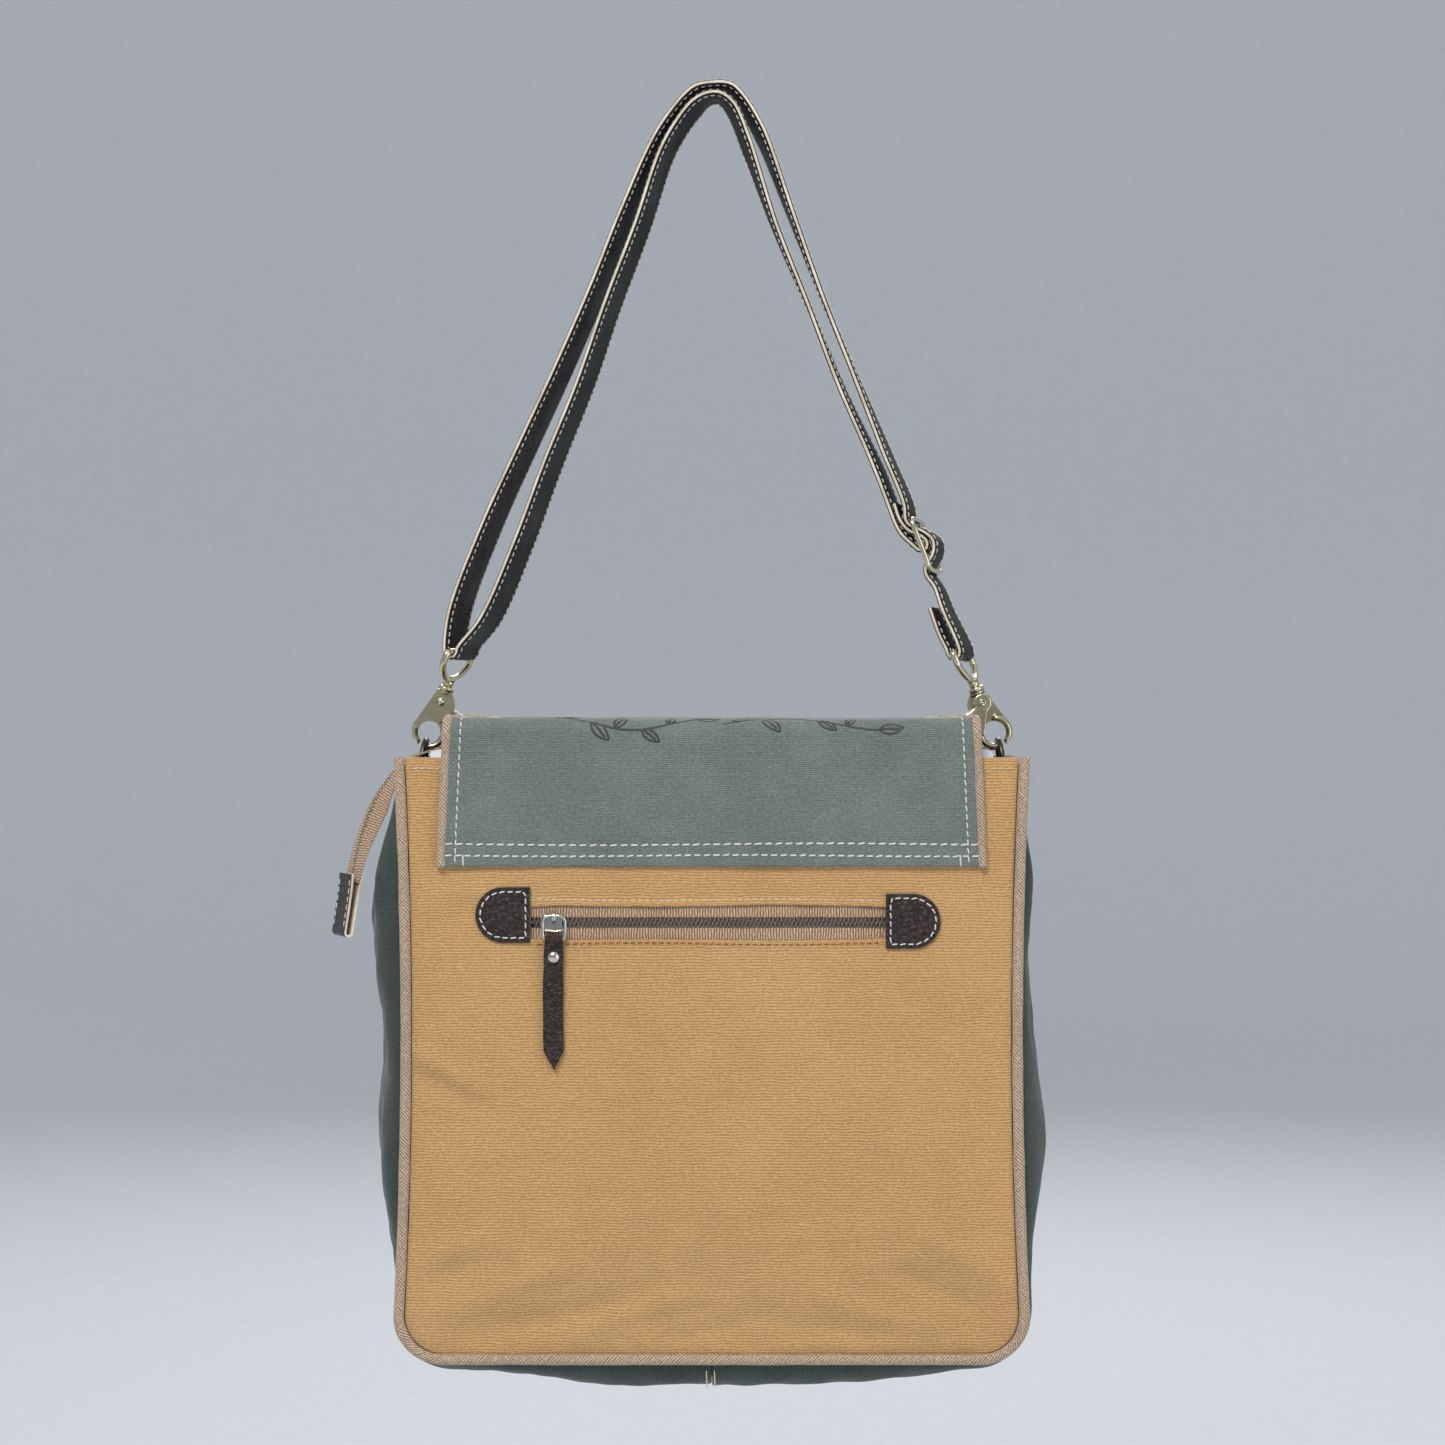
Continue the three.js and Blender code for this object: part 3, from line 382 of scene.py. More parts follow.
class Surface:
    """A procedural material under construction."""

    def __init__(self, name):
        self.material = bpy.data.materials.new(name)
        self.material.use_nodes = True
        self.tree = self.material.node_tree
        self.tree.nodes.clear()
        self.out = self.tree.nodes.new("ShaderNodeOutputMaterial")
        self.shader = self.tree.nodes.new("ShaderNodeBsdfPrincipled")
        self.tree.links.new(self.shader.outputs[0], self.out.inputs[0])

    def put(self, socket, value):
        if isinstance(value, bpy.types.NodeSocket):
            self.tree.links.new(value, socket)
        elif value is not None:
            socket.default_value = value

    def set(self, **values):
        for name, value in values.items():
            self.put(self.shader.inputs[name.replace("_", " ")], value)
        return self

    def cloth(self):
        node = self.tree.nodes.new("ShaderNodeAttribute")
        node.attribute_name = "cloth"
        return node.outputs["Vector"]

    def place(self):
        return self.tree.nodes.new("ShaderNodeTexCoord").outputs["Object"]

    def math(self, operation, a, b=None, c=None):
        node = self.tree.nodes.new("ShaderNodeMath")
        node.operation = operation
        for socket, value in zip(node.inputs, (a, b, c)):
            self.put(socket, value)
        return node.outputs[0]

    def stretch(self, vector, scale):
        node = self.tree.nodes.new("ShaderNodeMapping")
        self.put(node.inputs["Vector"], vector)
        node.inputs["Scale"].default_value = scale
        return node.outputs[0]

    def noise(self, vector, scale, detail=2.0, roughness=0.5):
        node = self.tree.nodes.new("ShaderNodeTexNoise")
        self.put(node.inputs["Vector"], vector)
        node.inputs["Scale"].default_value = scale
        node.inputs["Detail"].default_value = detail
        node.inputs["Roughness"].default_value = roughness
        return node.outputs["Fac"]

    def cells(self, vector, scale, feature="F1", output="Distance"):
        node = self.tree.nodes.new("ShaderNodeTexVoronoi")
        node.feature = feature
        self.put(node.inputs["Vector"], vector)
        node.inputs["Scale"].default_value = scale
        return node.outputs[output]

    def split(self, vector):
        node = self.tree.nodes.new("ShaderNodeSeparateXYZ")
        self.put(node.inputs[0], vector)
        return node.outputs

    def between(self, value, low, high, to_low=0.0, to_high=1.0):
        node = self.tree.nodes.new("ShaderNodeMapRange")
        for socket, v in zip(node.inputs, (value, low, high, to_low, to_high)):
            self.put(socket, v)
        return node.outputs[0]

    def mix(self, share, a, b, blend="MIX"):
        node = self.tree.nodes.new("ShaderNodeMix")
        node.data_type = "RGBA"
        node.blend_type = blend
        self.put(node.inputs["Factor"], share)
        self.put(node.inputs[6], a)
        self.put(node.inputs[7], b)
        return node.outputs[2]

    def bump(self, height, distance, strength=1.0, under=None):
        node = self.tree.nodes.new("ShaderNodeBump")
        node.inputs["Distance"].default_value = distance * MM
        node.inputs["Strength"].default_value = strength
        self.put(node.inputs["Height"], height)
        if under is not None:
            self.put(node.inputs["Normal"], under)
        return node.outputs[0]


def weave(name, base, shade, thread, across, along, contrast=0.55, relief=0.16, mottle=0.16,
          fade=None, rough=0.9, sheen=0.25, slub=0.35, grain=1.0):
    """Woven cloth. across and along are the ribs' and the threads' spacing in millimetres."""
    s = Surface(name)
    flat = s.cloth()
    drift = s.noise(flat, 90, 1)
    u, v = s.split(flat)[:2]
    v = s.math("ADD", v, s.math("MULTIPLY", s.math("SUBTRACT", drift, 0.5), across * MM * 1.1))
    row = s.math("DIVIDE", v, across * MM)
    ribs = s.math("MULTIPLY_ADD", s.math("SINE", s.math("MULTIPLY", row, TAU)), 0.5, 0.5)
    step = s.math("MULTIPLY", s.math("FLOOR", s.math("ADD", row, 0.25)), math.pi)
    turn = s.math("MULTIPLY_ADD", u, TAU / (along * MM), step)
    picks = s.math("MULTIPLY_ADD", s.math("SINE", turn), 0.5, 0.5)
    body = s.math("MULTIPLY", s.math("POWER", ribs, 0.7), s.math("MULTIPLY_ADD", picks, 0.4, 0.6))
    streaks = s.noise(s.stretch(flat, (330, 900, 330)), 1.0, 3, 0.6)
    fleck = s.noise(flat, 620, 4, 0.8)
    height = s.math("MULTIPLY_ADD", s.math("SUBTRACT", streaks, 0.5), slub, body)
    height = s.math("MULTIPLY_ADD", s.math("SUBTRACT", fleck, 0.5), grain, height)
    tone = s.math("MULTIPLY_ADD", s.math("SUBTRACT", fleck, 0.5), grain, height)
    dark = s.math("MULTIPLY", s.between(tone, 0.75, 0.05), contrast)
    colour = s.mix(dark, base, shade)
    colour = s.mix(s.between(streaks, 0.58, 0.8, 0.0, 0.35), colour, thread)
    colour = s.mix(s.between(fleck, 0.56, 0.8, 0.0, 0.55), colour, thread)
    broad = s.noise(s.place(), 14, 3, 0.55)
    near = s.noise(s.place(), 60, 2, 0.5)
    blotch = s.math("MULTIPLY_ADD", s.math("SUBTRACT", near, 0.5), 0.5, broad)
    darker = [c * 0.62 for c in shade[:3]] + [1.0]
    colour = s.mix(s.between(blotch, 0.45, 0.8, 0.0, mottle * 3), colour, darker)
    if fade:
        colour = s.mix(s.between(blotch, 0.5, 0.2, 0.0, mottle * 3), colour, fade)
    s.set(Base_Color=colour, Roughness=rough, Sheen_Weight=sheen, Sheen_Roughness=0.5,
          Specular_IOR_Level=0.2)
    low = s.bump(blotch, 0.5, 0.25)
    s.set(Normal=s.bump(height, relief, 0.9, low))
    return s.material


def leather(name, base, light, cell=1.5, rough=0.42, worn=0.3, relief=0.22):
    """Pebbled hide with a soft polish and paler rubbed grain."""
    s = Surface(name)
    place = s.place()
    wander = s.noise(place, 350, 2)
    node = s.tree.nodes.new("ShaderNodeVectorMath")
    node.operation = "MULTIPLY_ADD"
    s.put(node.inputs[0], wander)
    node.inputs[1].default_value = (cell * MM,) * 3
    s.put(node.inputs[2], place)
    grain = s.cells(node.outputs[0], 1 / (cell * MM), "SMOOTH_F1")
    fine = s.cells(node.outputs[0], 2.4 / (cell * MM), "F1")
    lines = s.noise(s.stretch(place, (1, 1, 3.2)), 160, 4, 0.6)
    height = s.math("MULTIPLY_ADD", grain, -1.0, s.math("MULTIPLY", fine, -0.35))
    height = s.math("MULTIPLY_ADD", s.math("SUBTRACT", lines, 0.5), 1.0, height)
    patch = s.noise(place, 40, 3)
    rub = s.math("MULTIPLY", s.between(grain, 0.42, 0.12), s.between(patch, 0.4, 0.75, 0.15, worn * 2))
    colour = s.mix(rub, base, light)
    deep = [c * 0.4 for c in base[:3]] + [1.0]
    colour = s.mix(s.between(grain, 0.5, 0.85, 0.0, 0.8), colour, deep)
    s.set(Base_Color=colour, Roughness=s.between(patch, 0.3, 0.7, rough - 0.08, rough + 0.12),
          Specular_IOR_Level=0.32)
    s.set(Normal=s.bump(height, relief, 0.8))
    return s.material


def raw_edge(name, base, shade):
    """The cut edge or flesh side of leather: fibrous and dull."""
    s = Surface(name)
    fibres = s.noise(s.stretch(s.place(), (1, 1, 2.5)), 900, 4, 0.7)
    broad = s.noise(s.place(), 90, 2)
    mixed = s.math("MULTIPLY_ADD", broad, 0.5, s.math("MULTIPLY", fibres, 0.6))
    s.set(Base_Color=s.mix(s.between(mixed, 0.35, 0.75), shade, base), Roughness=0.9,
          Specular_IOR_Level=0.2)
    s.set(Normal=s.bump(fibres, 0.12, 0.7))
    return s.material


def metal(name, bright, patina_and_painted_shade, rough=0.32, dirt=0.5, scratches=0.04):
    """Plated metal: bright where it is rubbed and on its edges, partly a painted highlight; dark patina and
    painted shade in the dips.
    """
    s = Surface(name)
    place = s.place()
    broad = s.noise(place, 120, 3, 0.6)
    fine = s.noise(place, 900, 3, 0.6)
    lines = s.noise(s.stretch(place, (300, 300, 2400)), 1.0, 2, 0.6)
    geometry = s.tree.nodes.new("ShaderNodeNewGeometry")
    # Pointiness mask: edges take the bright colour and hollows the dark one. This is partly real wear and
    # patina, partly painted highlight and painted shade standing in for reflection contrast.
    edge = s.between(geometry.outputs["Pointiness"], 0.48, 0.54)
    wear_and_painted_light = s.math("MULTIPLY_ADD", edge, 0.6, s.math("MULTIPLY", s.math("ADD", broad, fine), 0.35))
    colour = s.mix(s.between(wear_and_painted_light, 0.25, 0.75), patina_and_painted_shade, bright)
    s.set(Base_Color=colour, Metallic=1.0,
          Roughness=s.between(wear_and_painted_light, 0.2, 0.8, rough + 0.16, rough - 0.05))
    height = s.math("MULTIPLY_ADD", lines, scratches, s.math("MULTIPLY", fine, 0.5))
    s.set(Normal=s.bump(height, 0.015, dirt))
    return s.material


def thread_material(name, base, shade):
    """Twisted sewing thread."""
    s = Surface(name)
    u, v = s.split(s.cloth())[:2]
    twist = s.math("SINE", s.math("MULTIPLY", s.math("ADD", u, s.math("MULTIPLY", v, 0.5)), TAU / 0.0006))
    grime = s.noise(s.place(), 240, 2)
    share = s.math("MULTIPLY_ADD", twist, 0.22, s.math("MULTIPLY", grime, 0.7))
    s.set(Base_Color=s.mix(s.between(share, 0.1, 0.75), shade, base), Roughness=0.75,
          Sheen_Weight=0.2)
    s.set(Normal=s.bump(twist, 0.05, 0.6))
    return s.material


def nylon(name, base, shine):
    """Moulded coil or print film: near-black with faint streaks."""
    s = Surface(name)
    streak = s.noise(s.place(), 700, 2)
    s.set(Base_Color=s.mix(streak, base, shine), Roughness=s.between(streak, 0.3, 0.7, 0.35, 0.55))
    s.set(Normal=s.bump(streak, 0.05, 0.4))
    return s.material


tan = weave("tan_canvas", srgb(203, 163, 110), srgb(142, 101, 56), srgb(230, 198, 150), 1.6, 1.1,
            contrast=0.7, relief=0.26, mottle=0.035, fade=srgb(212, 174, 124), slub=0.35, grain=1.3)
green = weave("green_canvas", srgb(120, 129, 124), srgb(70, 80, 76), srgb(158, 164, 156), 1.1, 1.1,
              contrast=0.75, relief=0.16, mottle=0.07, fade=srgb(132, 142, 136), slub=0.3, grain=1.3)
dark_green = weave("gusset_canvas", srgb(66, 76, 71), srgb(36, 44, 41), srgb(92, 102, 95), 1.1, 1.1,
                   contrast=0.7, relief=0.16, mottle=0.09, fade=srgb(84, 95, 88), slub=0.3, grain=1.2)
pipe_cloth = weave("piping", srgb(208, 182, 156), srgb(112, 92, 76), srgb(230, 212, 192), 1.4, 1.4,
                   contrast=1.0, relief=0.3, mottle=0.06, slub=0.2)
lining = weave("lining", srgb(228, 230, 236), srgb(184, 188, 198), srgb(242, 243, 246), 0.7, 0.7,
               contrast=0.4, relief=0.06, mottle=0.03, slub=0.2, grain=0.5)
tape = weave("zip_tape", srgb(204, 172, 140), srgb(104, 78, 60), srgb(218, 190, 160), 1.5, 6.0,
             contrast=1.0, relief=0.35, mottle=0.05, slub=0.2, grain=0.5)
coil = nylon("zip_coil", srgb(62, 48, 41), srgb(138, 118, 102))
ink = nylon("leaf_print", srgb(40, 44, 44), srgb(66, 70, 70))
hide = leather("leather", srgb(34, 24, 22), srgb(108, 80, 70), cell=2.1, rough=0.34, worn=0.25, relief=0.9)
strap_out = leather("strap_leather", srgb(38, 27, 22), srgb(84, 64, 54), cell=1.6, rough=0.52, worn=0.18,
                    relief=0.3)
strap_in = leather("strap_backing", srgb(24, 23, 22), srgb(48, 45, 43), cell=1.2, rough=0.62, worn=0.12,
                   relief=0.15)
cream = raw_edge("raw_edge", srgb(234, 226, 208), srgb(176, 160, 138))
worn_edge = raw_edge("worn_edge", srgb(168, 156, 146), srgb(58, 46, 44))
grey_edge = raw_edge("pull_edge", srgb(176, 168, 160), srgb(110, 100, 92))
# Each metal's first colour is also a painted highlight on its edges, and its second colour is also painted
# shade in its dips.
brass = metal("antique_brass", srgb(214, 206, 176), srgb(112, 103, 74), rough=0.24)
bronze = metal("dark_bronze", srgb(84, 76, 70), srgb(38, 34, 32), rough=0.38)
nickel = metal("antique_silver", srgb(206, 204, 194), srgb(92, 88, 80), rough=0.24)
white_thread = thread_material("white_thread", srgb(242, 240, 232), srgb(200, 194, 180))
cream_thread = thread_material("cream_thread", srgb(236, 220, 186), srgb(196, 170, 126))
pale_thread = thread_material("pale_thread", srgb(240, 238, 226), srgb(196, 194, 182))
brown_thread = thread_material("brown_thread", srgb(150, 104, 58), srgb(96, 62, 32))


# ---------------------------------------------------------------- panels
def panel_columns():
    x0, x1 = SLOT[:2]
    inner = np.concatenate([
        np.linspace(-118, x0, 8)[:-1], np.linspace(x0, x1, 67)[:-1], np.linspace(x1, 118, 9)])
    outer = np.array([0.12, 0.26, 0.4, 0.54, 0.67, 0.78, 0.86, 0.92, 0.96, 1.0])
    return inner, outer


def panel_rows():
    z0, z1 = SLOT[2:]
    straight = np.concatenate([
        np.linspace(TOP, z1, 29)[:-1], np.linspace(z1, z0, 7)[:-1], np.linspace(z0, BEND, 71)])
    turn = np.radians(np.linspace(0, 90, 11))[1:]
    r = CORNER - 5.9
    return np.concatenate([straight, BEND - r * np.sin(turn)])


def panel_relief(x, z, seed):
    """How far a panel's face stands out beyond its flat plane, before the slot is cut."""
    half = half_width(z, 5.9)
    edge = np.minimum(half - np.abs(x), z - (BOTTOM + 5.9))
    edge = np.maximum(edge, 0)
    depth = np.clip((TOP - z) / (TOP - BOTTOM), 0, 1)
    belly = 2.6 * np.sin(math.pi * np.clip(depth, 0, 1)) ** 1.2 * np.cos(math.pi * x / (2.15 * HALF)) ** 1.5
    run = x + z * 0.9
    pucker = 0.34 * np.sin(run / 2.6 + 1.2 * ripple(run, run * 0, seed + 1, 60)) * np.exp(-edge / 7)
    wave = 0.55 * ripple(x, z, seed, 95) + 0.22 * ripple(x, z * 1.6, seed + 2, 38)
    low = ease((depth - 0.62) / 0.35)
    wave = wave * (0.6 + 0.9 * low)
    tuck = -1.7 * np.exp(-((edge / 2.4) ** 1.3))
    return belly + (pucker + wave) * ease(edge / 8 + 0.15) + tuck


# Start, end, width and height of each soft fold in the back panel.
PANEL_CREASES = [
    ((-171, -530), (-122, -562), 5.0, 2.3), ((-170, -542), (-116, -574), 5.0, -1.8),
    ((-166, -654), (-112, -634), 7.0, 1.8), ((-168, -668), (-120, -650), 6.0, -1.6),
    ((-163, -684), (-66, -648), 7.0, 2.6), ((-140, -694), (-30, -668), 7.0, -2.2),
    ((-90, -692), (10, -664), 6.0, 2.0), ((-40, -696), (40, -680), 5.0, -1.4),
    ((168, -668), (104, -628), 7.0, 2.4), ((166, -684), (84, -650), 6.0, -2.0),
    ((140, -694), (40, -664), 7.0, 2.0), ((100, -694), (10, -678), 5.0, -1.2),
    ((-160, -452), (-106, -446), 6.0, 1.2), ((106, -450), (160, -462), 6.0, 1.2),
    ((-30, -690), (-18, -640), 6.0, 1.0), ((60, -692), (72, -646), 6.0, 1.0),
]


def back_relief(x, z):
    rise = panel_relief(x, z, 11)
    rise = rise + 3.4 * np.exp(-(((z + 640) / 42) ** 2)) * np.cos(math.pi * x / 370) ** 1.2
    for start, end, width, height in PANEL_CREASES:
        rise = rise + crease(x, z, start, end, width, height)
    x0, x1, z0, z1 = SLOT
    dx = np.maximum(np.maximum(x0 - x, x - x1), 0)
    dz = np.maximum(np.maximum(z0 - z, z - z1), 0)
    near = np.hypot(dx, dz)
    rise = rise * (1 - 0.75 * np.exp(-((near / 22) ** 2)))
    lip = 0.6 * np.exp(-near / 2.6) - 0.5 * np.exp(-(((near - 5.5) / 2.5) ** 2))
    wavy = 0.25 * np.sin(x / 6.5 + 1.1 * ripple(x, z * 0, 21, 40)) * np.exp(-near / 9)
    return rise + lip + wavy


def front_relief(x, z):
    return panel_relief(x, z, 31) * 0.9


def panel_grid(relief, sign):
    inner, outer = panel_columns()
    z = panel_rows()
    half = half_width(z, 5.9)
    left = -118 - outer[::-1][None] * (half[:, None] - 118)
    right = 118 + outer[None] * (half[:, None] - 118)
    x = np.concatenate([left, np.broadcast_to(inner, (len(z), len(inner))), right], 1)
    zz = np.broadcast_to(z[:, None], x.shape)
    y = sign * (FACE + relief(x, zz))
    return np.stack([x, y, zz], -1)


def build_panels():
    grid = panel_grid(back_relief, -1)
    x, z = grid[..., 0], grid[..., 2]
    middle_x = (x[:-1, :-1] + x[1:, 1:]) / 2
    middle_z = (z[:-1, :-1] + z[1:, 1:]) / 2
    hole = (
        (middle_x > SLOT[0]) & (middle_x < SLOT[1]) & (middle_z > SLOT[2]) & (middle_z < SLOT[3])
    )
    # The slot's long edges wander a little, as a turned and top-stitched opening does.
    near = np.exp(-np.abs(z - SLOT[3]) / 3) - np.exp(-np.abs(z - SLOT[2]) / 3)
    inside = ease((x - SLOT[0]) / 20) * ease((SLOT[1] - x) / 20)
    grid[..., 2] += near * inside * (0.9 + 0.5 * np.sin(x / 23))
    flat = np.stack([x, z], -1)
    cloth_piece("back_panel_cloth", grid, flat, 1.3, tan, keep=~hole,
                replaces=["back_panel"], slot="tan_canvas")
    grid = panel_grid(front_relief, 1)
    flat = np.stack([grid[..., 0], grid[..., 2]], -1)
    cloth_piece("front_panel_cloth", grid, flat, 1.3, green, flip=True,
                replaces=["front_panel"], slot="green_canvas")


def build_piping():
    for side, sign in (("back", -1), ("front", 1)):
        line = outline(PIPE_R, side=90, corner=20, base=60)
        points = np.insert(line, 1, sign * 42.0, axis=1)
        s = lengths(points)
        points[:, 1] += sign * 0.25 * ripple(s, s * 0, 3 + sign, 70)
        points = resample(points, 420)[0]
        tube(f"piping_{side}_cord", points, (0, 1, 0), PIPE_R, pipe_cloth, sides=18, wobble=0.1,
             replaces=[f"piping_{side}"], slot="piping")


# ---------------------------------------------------------------- gusset
def gusset_bulge(s, total, side):
    """How far the gusset stands out at a distance s down from its top edge to the base seam."""
    if side == "left":
        at = [0, 12, 26, 45, 75, 110, 160, 205, 240, 265, 290, 320, 345, 390, 440, total]
        out = [-8, -7, -1, 9, 20, 20, 15, 18, 14, 8, 4, 4, 9, 15, 19, 20]
    else:
        at = [0, 22, 45, 70, 110, 160, 215, 245, 265, 290, 320, 345, 390, 440, total]
        out = [-8, -8, -2, 4, 8, 13, 18, 13, 8, 4, 4, 9, 15, 19, 20]
    fine = np.linspace(0, total, 600)
    rough = np.interp(fine, at, out)
    kernel = np.hanning(61)
    padded = np.pad(rough, 30, mode="edge")
    return np.interp(s, fine, np.convolve(padded, kernel / kernel.sum(), "valid"))


def gusset_grid(side, inward=0.0, reach=GUSSET_HALF, top=TOP - 4.0, rows=150, cols=33):
    line = outline(2.5, top=top, side=90, corner=24, base=60)
    half = line[: len(line) // 2 + 1]
    if side == "right":
        half = half * [-1, 1]
    points = resample(np.insert(half, 1, 0.0, axis=1), rows)[0]
    s = lengths(points)
    out = stations(points, (0, 1, 0))[1]
    if side == "right":
        out = -out
    q = np.sin(np.linspace(-1, 1, cols) * math.pi / 2)
    y = q * reach
    share = (1 - np.clip(np.abs(y) / GUSSET_HALF, 0, 1) ** 3.6) ** 0.62
    bulge = gusset_bulge(s, s[-1], side)[:, None] * share[None]
    sm, ym = s[:, None], y[None]
    seed = 41 if side == "left" else 47
    soft = 1.1 * ripple(sm * 0.55, ym * 1.3, seed, 62) + 0.45 * ripple(sm, ym * 1.4, seed + 1, 24)
    soft = soft + 0.8 * np.sin(ym / 7.5 + 1.3 * ripple(sm, ym * 0, seed + 2, 140)) * ease((sm - 30) / 60)
    pucker = 0.3 * np.sin(sm / 2.4 + ripple(sm, ym * 0, seed + 3, 50)) * np.exp(-(reach - np.abs(ym)) / 5)
    fold = crease(sm, ym, (250, -30), (330, 22), 9, -3.0) + crease(sm, ym, (285, 32), (375, -18), 8, -2.4)
    fold = fold + crease(sm, ym, (120, -26), (190, -6), 7, -1.6) + crease(sm, ym, (90, 6), (150, 28), 7, -1.4)
    beside = 6.5 * np.exp(-(((np.abs(ym) - 31) / 5.5) ** 2)) * ease((110 - sm) / 60)
    lift = bulge + beside + (soft * share[None] + pucker) + fold * share[None] + inward
    grid = points[:, None] + out[:, None] * lift[..., None]
    grid[..., 1] = ym
    flat = np.stack(np.broadcast_arrays(ym, -sm), -1)
    return grid, flat


def build_gussets():
    for side in ("left", "right"):
        grid, flat = gusset_grid(side)
        cloth_piece(f"gusset_{side}_cloth", grid, flat, 1.6, dark_green, flip=side == "left",
                    replaces=[f"gusset_{side}"], slot="gusset_canvas")
    grids = []
    for side in ("left", "right"):
        grid, flat = gusset_grid(side, inward=-4.2, reach=GUSSET_HALF - 6, top=TOP - 9, rows=90, cols=15)
        grids.append(grid if side == "left" else grid[::-1][1:])
    grid = np.concatenate(grids)
    flat = np.stack([grid[..., 1], grid[..., 2]], -1)
    cloth_piece("gusset_lining_cloth", grid, flat, 0.6, lining, flip=True, levels=0,
                replaces=["lining_gusset"], slot="lining")


# ---------------------------------------------------------------- flap
FLAP_PATH_STEPS = 260


def flap_path():
    """The flap's outer face in y and z, from its sewn edge up the back, over and down the front."""
    back_y, top_z, front_y = -46.8, FLAP_TOP + 1.4, 52.8
    lower, end = TOP - 60, FLAP_TOP - 240
    rb, rf = 8.5, 12.4
    turn_b = np.radians(np.linspace(180, 90, 14))
    turn_f = np.radians(np.linspace(90, 0, 18))
    parts = [
        [(back_y, z) for z in np.linspace(lower, top_z - rb, 30)],
        [(back_y + rb + rb * math.cos(a), top_z - rb + rb * math.sin(a)) for a in turn_b][1:],
        [(y, top_z) for y in np.linspace(back_y + rb, front_y - rf, 40)][1:],
        [(front_y - rf + rf * math.cos(a), top_z - rf + rf * math.sin(a)) for a in turn_f][1:],
        [(front_y, z) for z in np.linspace(top_z - rf, end, 90)][1:],
    ]
    return resample(np.array([p for part in parts for p in part]), FLAP_PATH_STEPS)[0]


flap_line = flap_path()
flap_s = lengths(flap_line)
flap_tangent = unit(np.gradient(flap_line, axis=0))
flap_normal = np.stack([-flap_tangent[:, 1], flap_tangent[:, 0]], 1)   # out of the flap


def flap_edge(y, z):
    off = np.minimum(np.abs(y - 16) / 34, 1)
    on_top = np.where(z > FLAP_TOP - 1, np.cos(off * math.pi / 2) ** 2, 0)
    spread = np.interp(z, [FLAP_TOP - 82, FLAP_TOP], [3.5, 0])
    spread = np.where(y > 0, 0, spread)
    return FLAP_HALF + spread - 17 * on_top


flap_edges = flap_edge(flap_line[:, 0], flap_line[:, 1])
kernel = np.hanning(15)
flap_edges = np.convolve(np.pad(flap_edges, 7, mode="edge"), kernel / kernel.sum(), "valid")


def flap_points(s, x, out=0.0):
    """Points on the flap at a distance s along it and x across it, out of its face by out."""
    s, x = np.broadcast_arrays(np.asarray(s, float), np.asarray(x, float))
    y = np.interp(s, flap_s, flap_line[:, 0])
    z = np.interp(s, flap_s, flap_line[:, 1])
    ny = np.interp(s, flap_s, flap_normal[:, 0])
    nz = np.interp(s, flap_s, flap_normal[:, 1])
    edge = np.interp(s, flap_s, flap_edges)
    total = flap_s[-1]
    soft = 0.5 * ripple(s, x, 61, 85) + 0.18 * ripple(s * 1.4, x, 62, 34)
    side = np.exp(-np.maximum(edge - np.abs(x), 0) / 6)
    soft = soft * (1 - 0.5 * side) + 0.22 * np.sin(s / 2.6) * side
    top = ease((s - 74) / 20) * ease((168 - s) / 20)
    sag = -1.3 * top * (1 - (x / 160) ** 2)
    hem = 0.35 * np.exp(-(((s - 4) / 4.5) ** 2)) - 0.3 * np.exp(-(((s - 13) / 3.0) ** 2))
    front = ease((s - 200) / 60)
    curl = front * 1.4 * ease((s - total + 60) / 60) * (np.abs(x) / FLAP_HALF) ** 3
    drape = front * 0.8 * np.sin(x / 31 + 0.7) * ease((s - 230) / 150)
    lower = 0.6 * np.sin(x / 47 + 1.0) * ease((30 - s) / 30)
    lift = out + soft * 0.8 + sag + hem + curl + drape + np.maximum(lower, -0.2)
    return np.stack([x, y + ny * lift, z + nz * lift], -1)


def flap_normals(s, x):
    base = flap_points(s, x)
    along = flap_points(np.asarray(s) + 0.5, x) - base
    over = flap_points(s, np.asarray(x) + 0.5) - base
    return unit(np.cross(along, over)) * -1


def fold(obj):
    """Bakes the piece's placement into its mesh. The piece runs over the flap's fold line."""
    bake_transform(obj)


def build_flap():
    s = flap_s
    q = np.sin(np.linspace(-1, 1, 95) * math.pi / 2 * 0.86) / math.sin(math.pi / 2 * 0.86)
    x = flap_edges[:, None] * q[None]
    grid = flap_points(s[:, None], x)
    flat = np.stack(np.broadcast_arrays(x, s[:, None]), -1)
    cover = cloth_piece("flap_cloth", grid, flat, 1.3, green, body=None, flip=True,
                        replaces=["flap_back", "flap_front"], slot="green_canvas")
    inner = (flap_edges - 1.5)[:, None] * q[None]
    grid = flap_points(s[:, None], inner, -1.9)
    under = cloth_piece("flap_lining_cloth", grid, flat, 0.6, lining, body=None, flip=True, levels=0,
                        replaces=["flap_lining"], slot="lining")
    fold(cover)
    fold(under)
    for side, sign in (("left", -1), ("right", 1)):
        centre = flap_points(s, sign * (flap_edges + 1.7), -0.9)
        centre = resample(centre, 360)[0]
        cord = tube(f"flap_piping_{side}_cord", centre, (1, 0, 0), 2.5, pipe_cloth, sides=14,
                    wobble=0.08, body=None,
                    replaces=[f"flap_piping_{side}", f"flap_front_piping_{side}"], slot="piping")
        fold(cord)


def flap_row(s_values, x_values, **options):
    s_values, x_values = np.broadcast_arrays(np.asarray(s_values, float), np.asarray(x_values, float))
    return flap_points(s_values, x_values), flap_normals(s_values, x_values), options


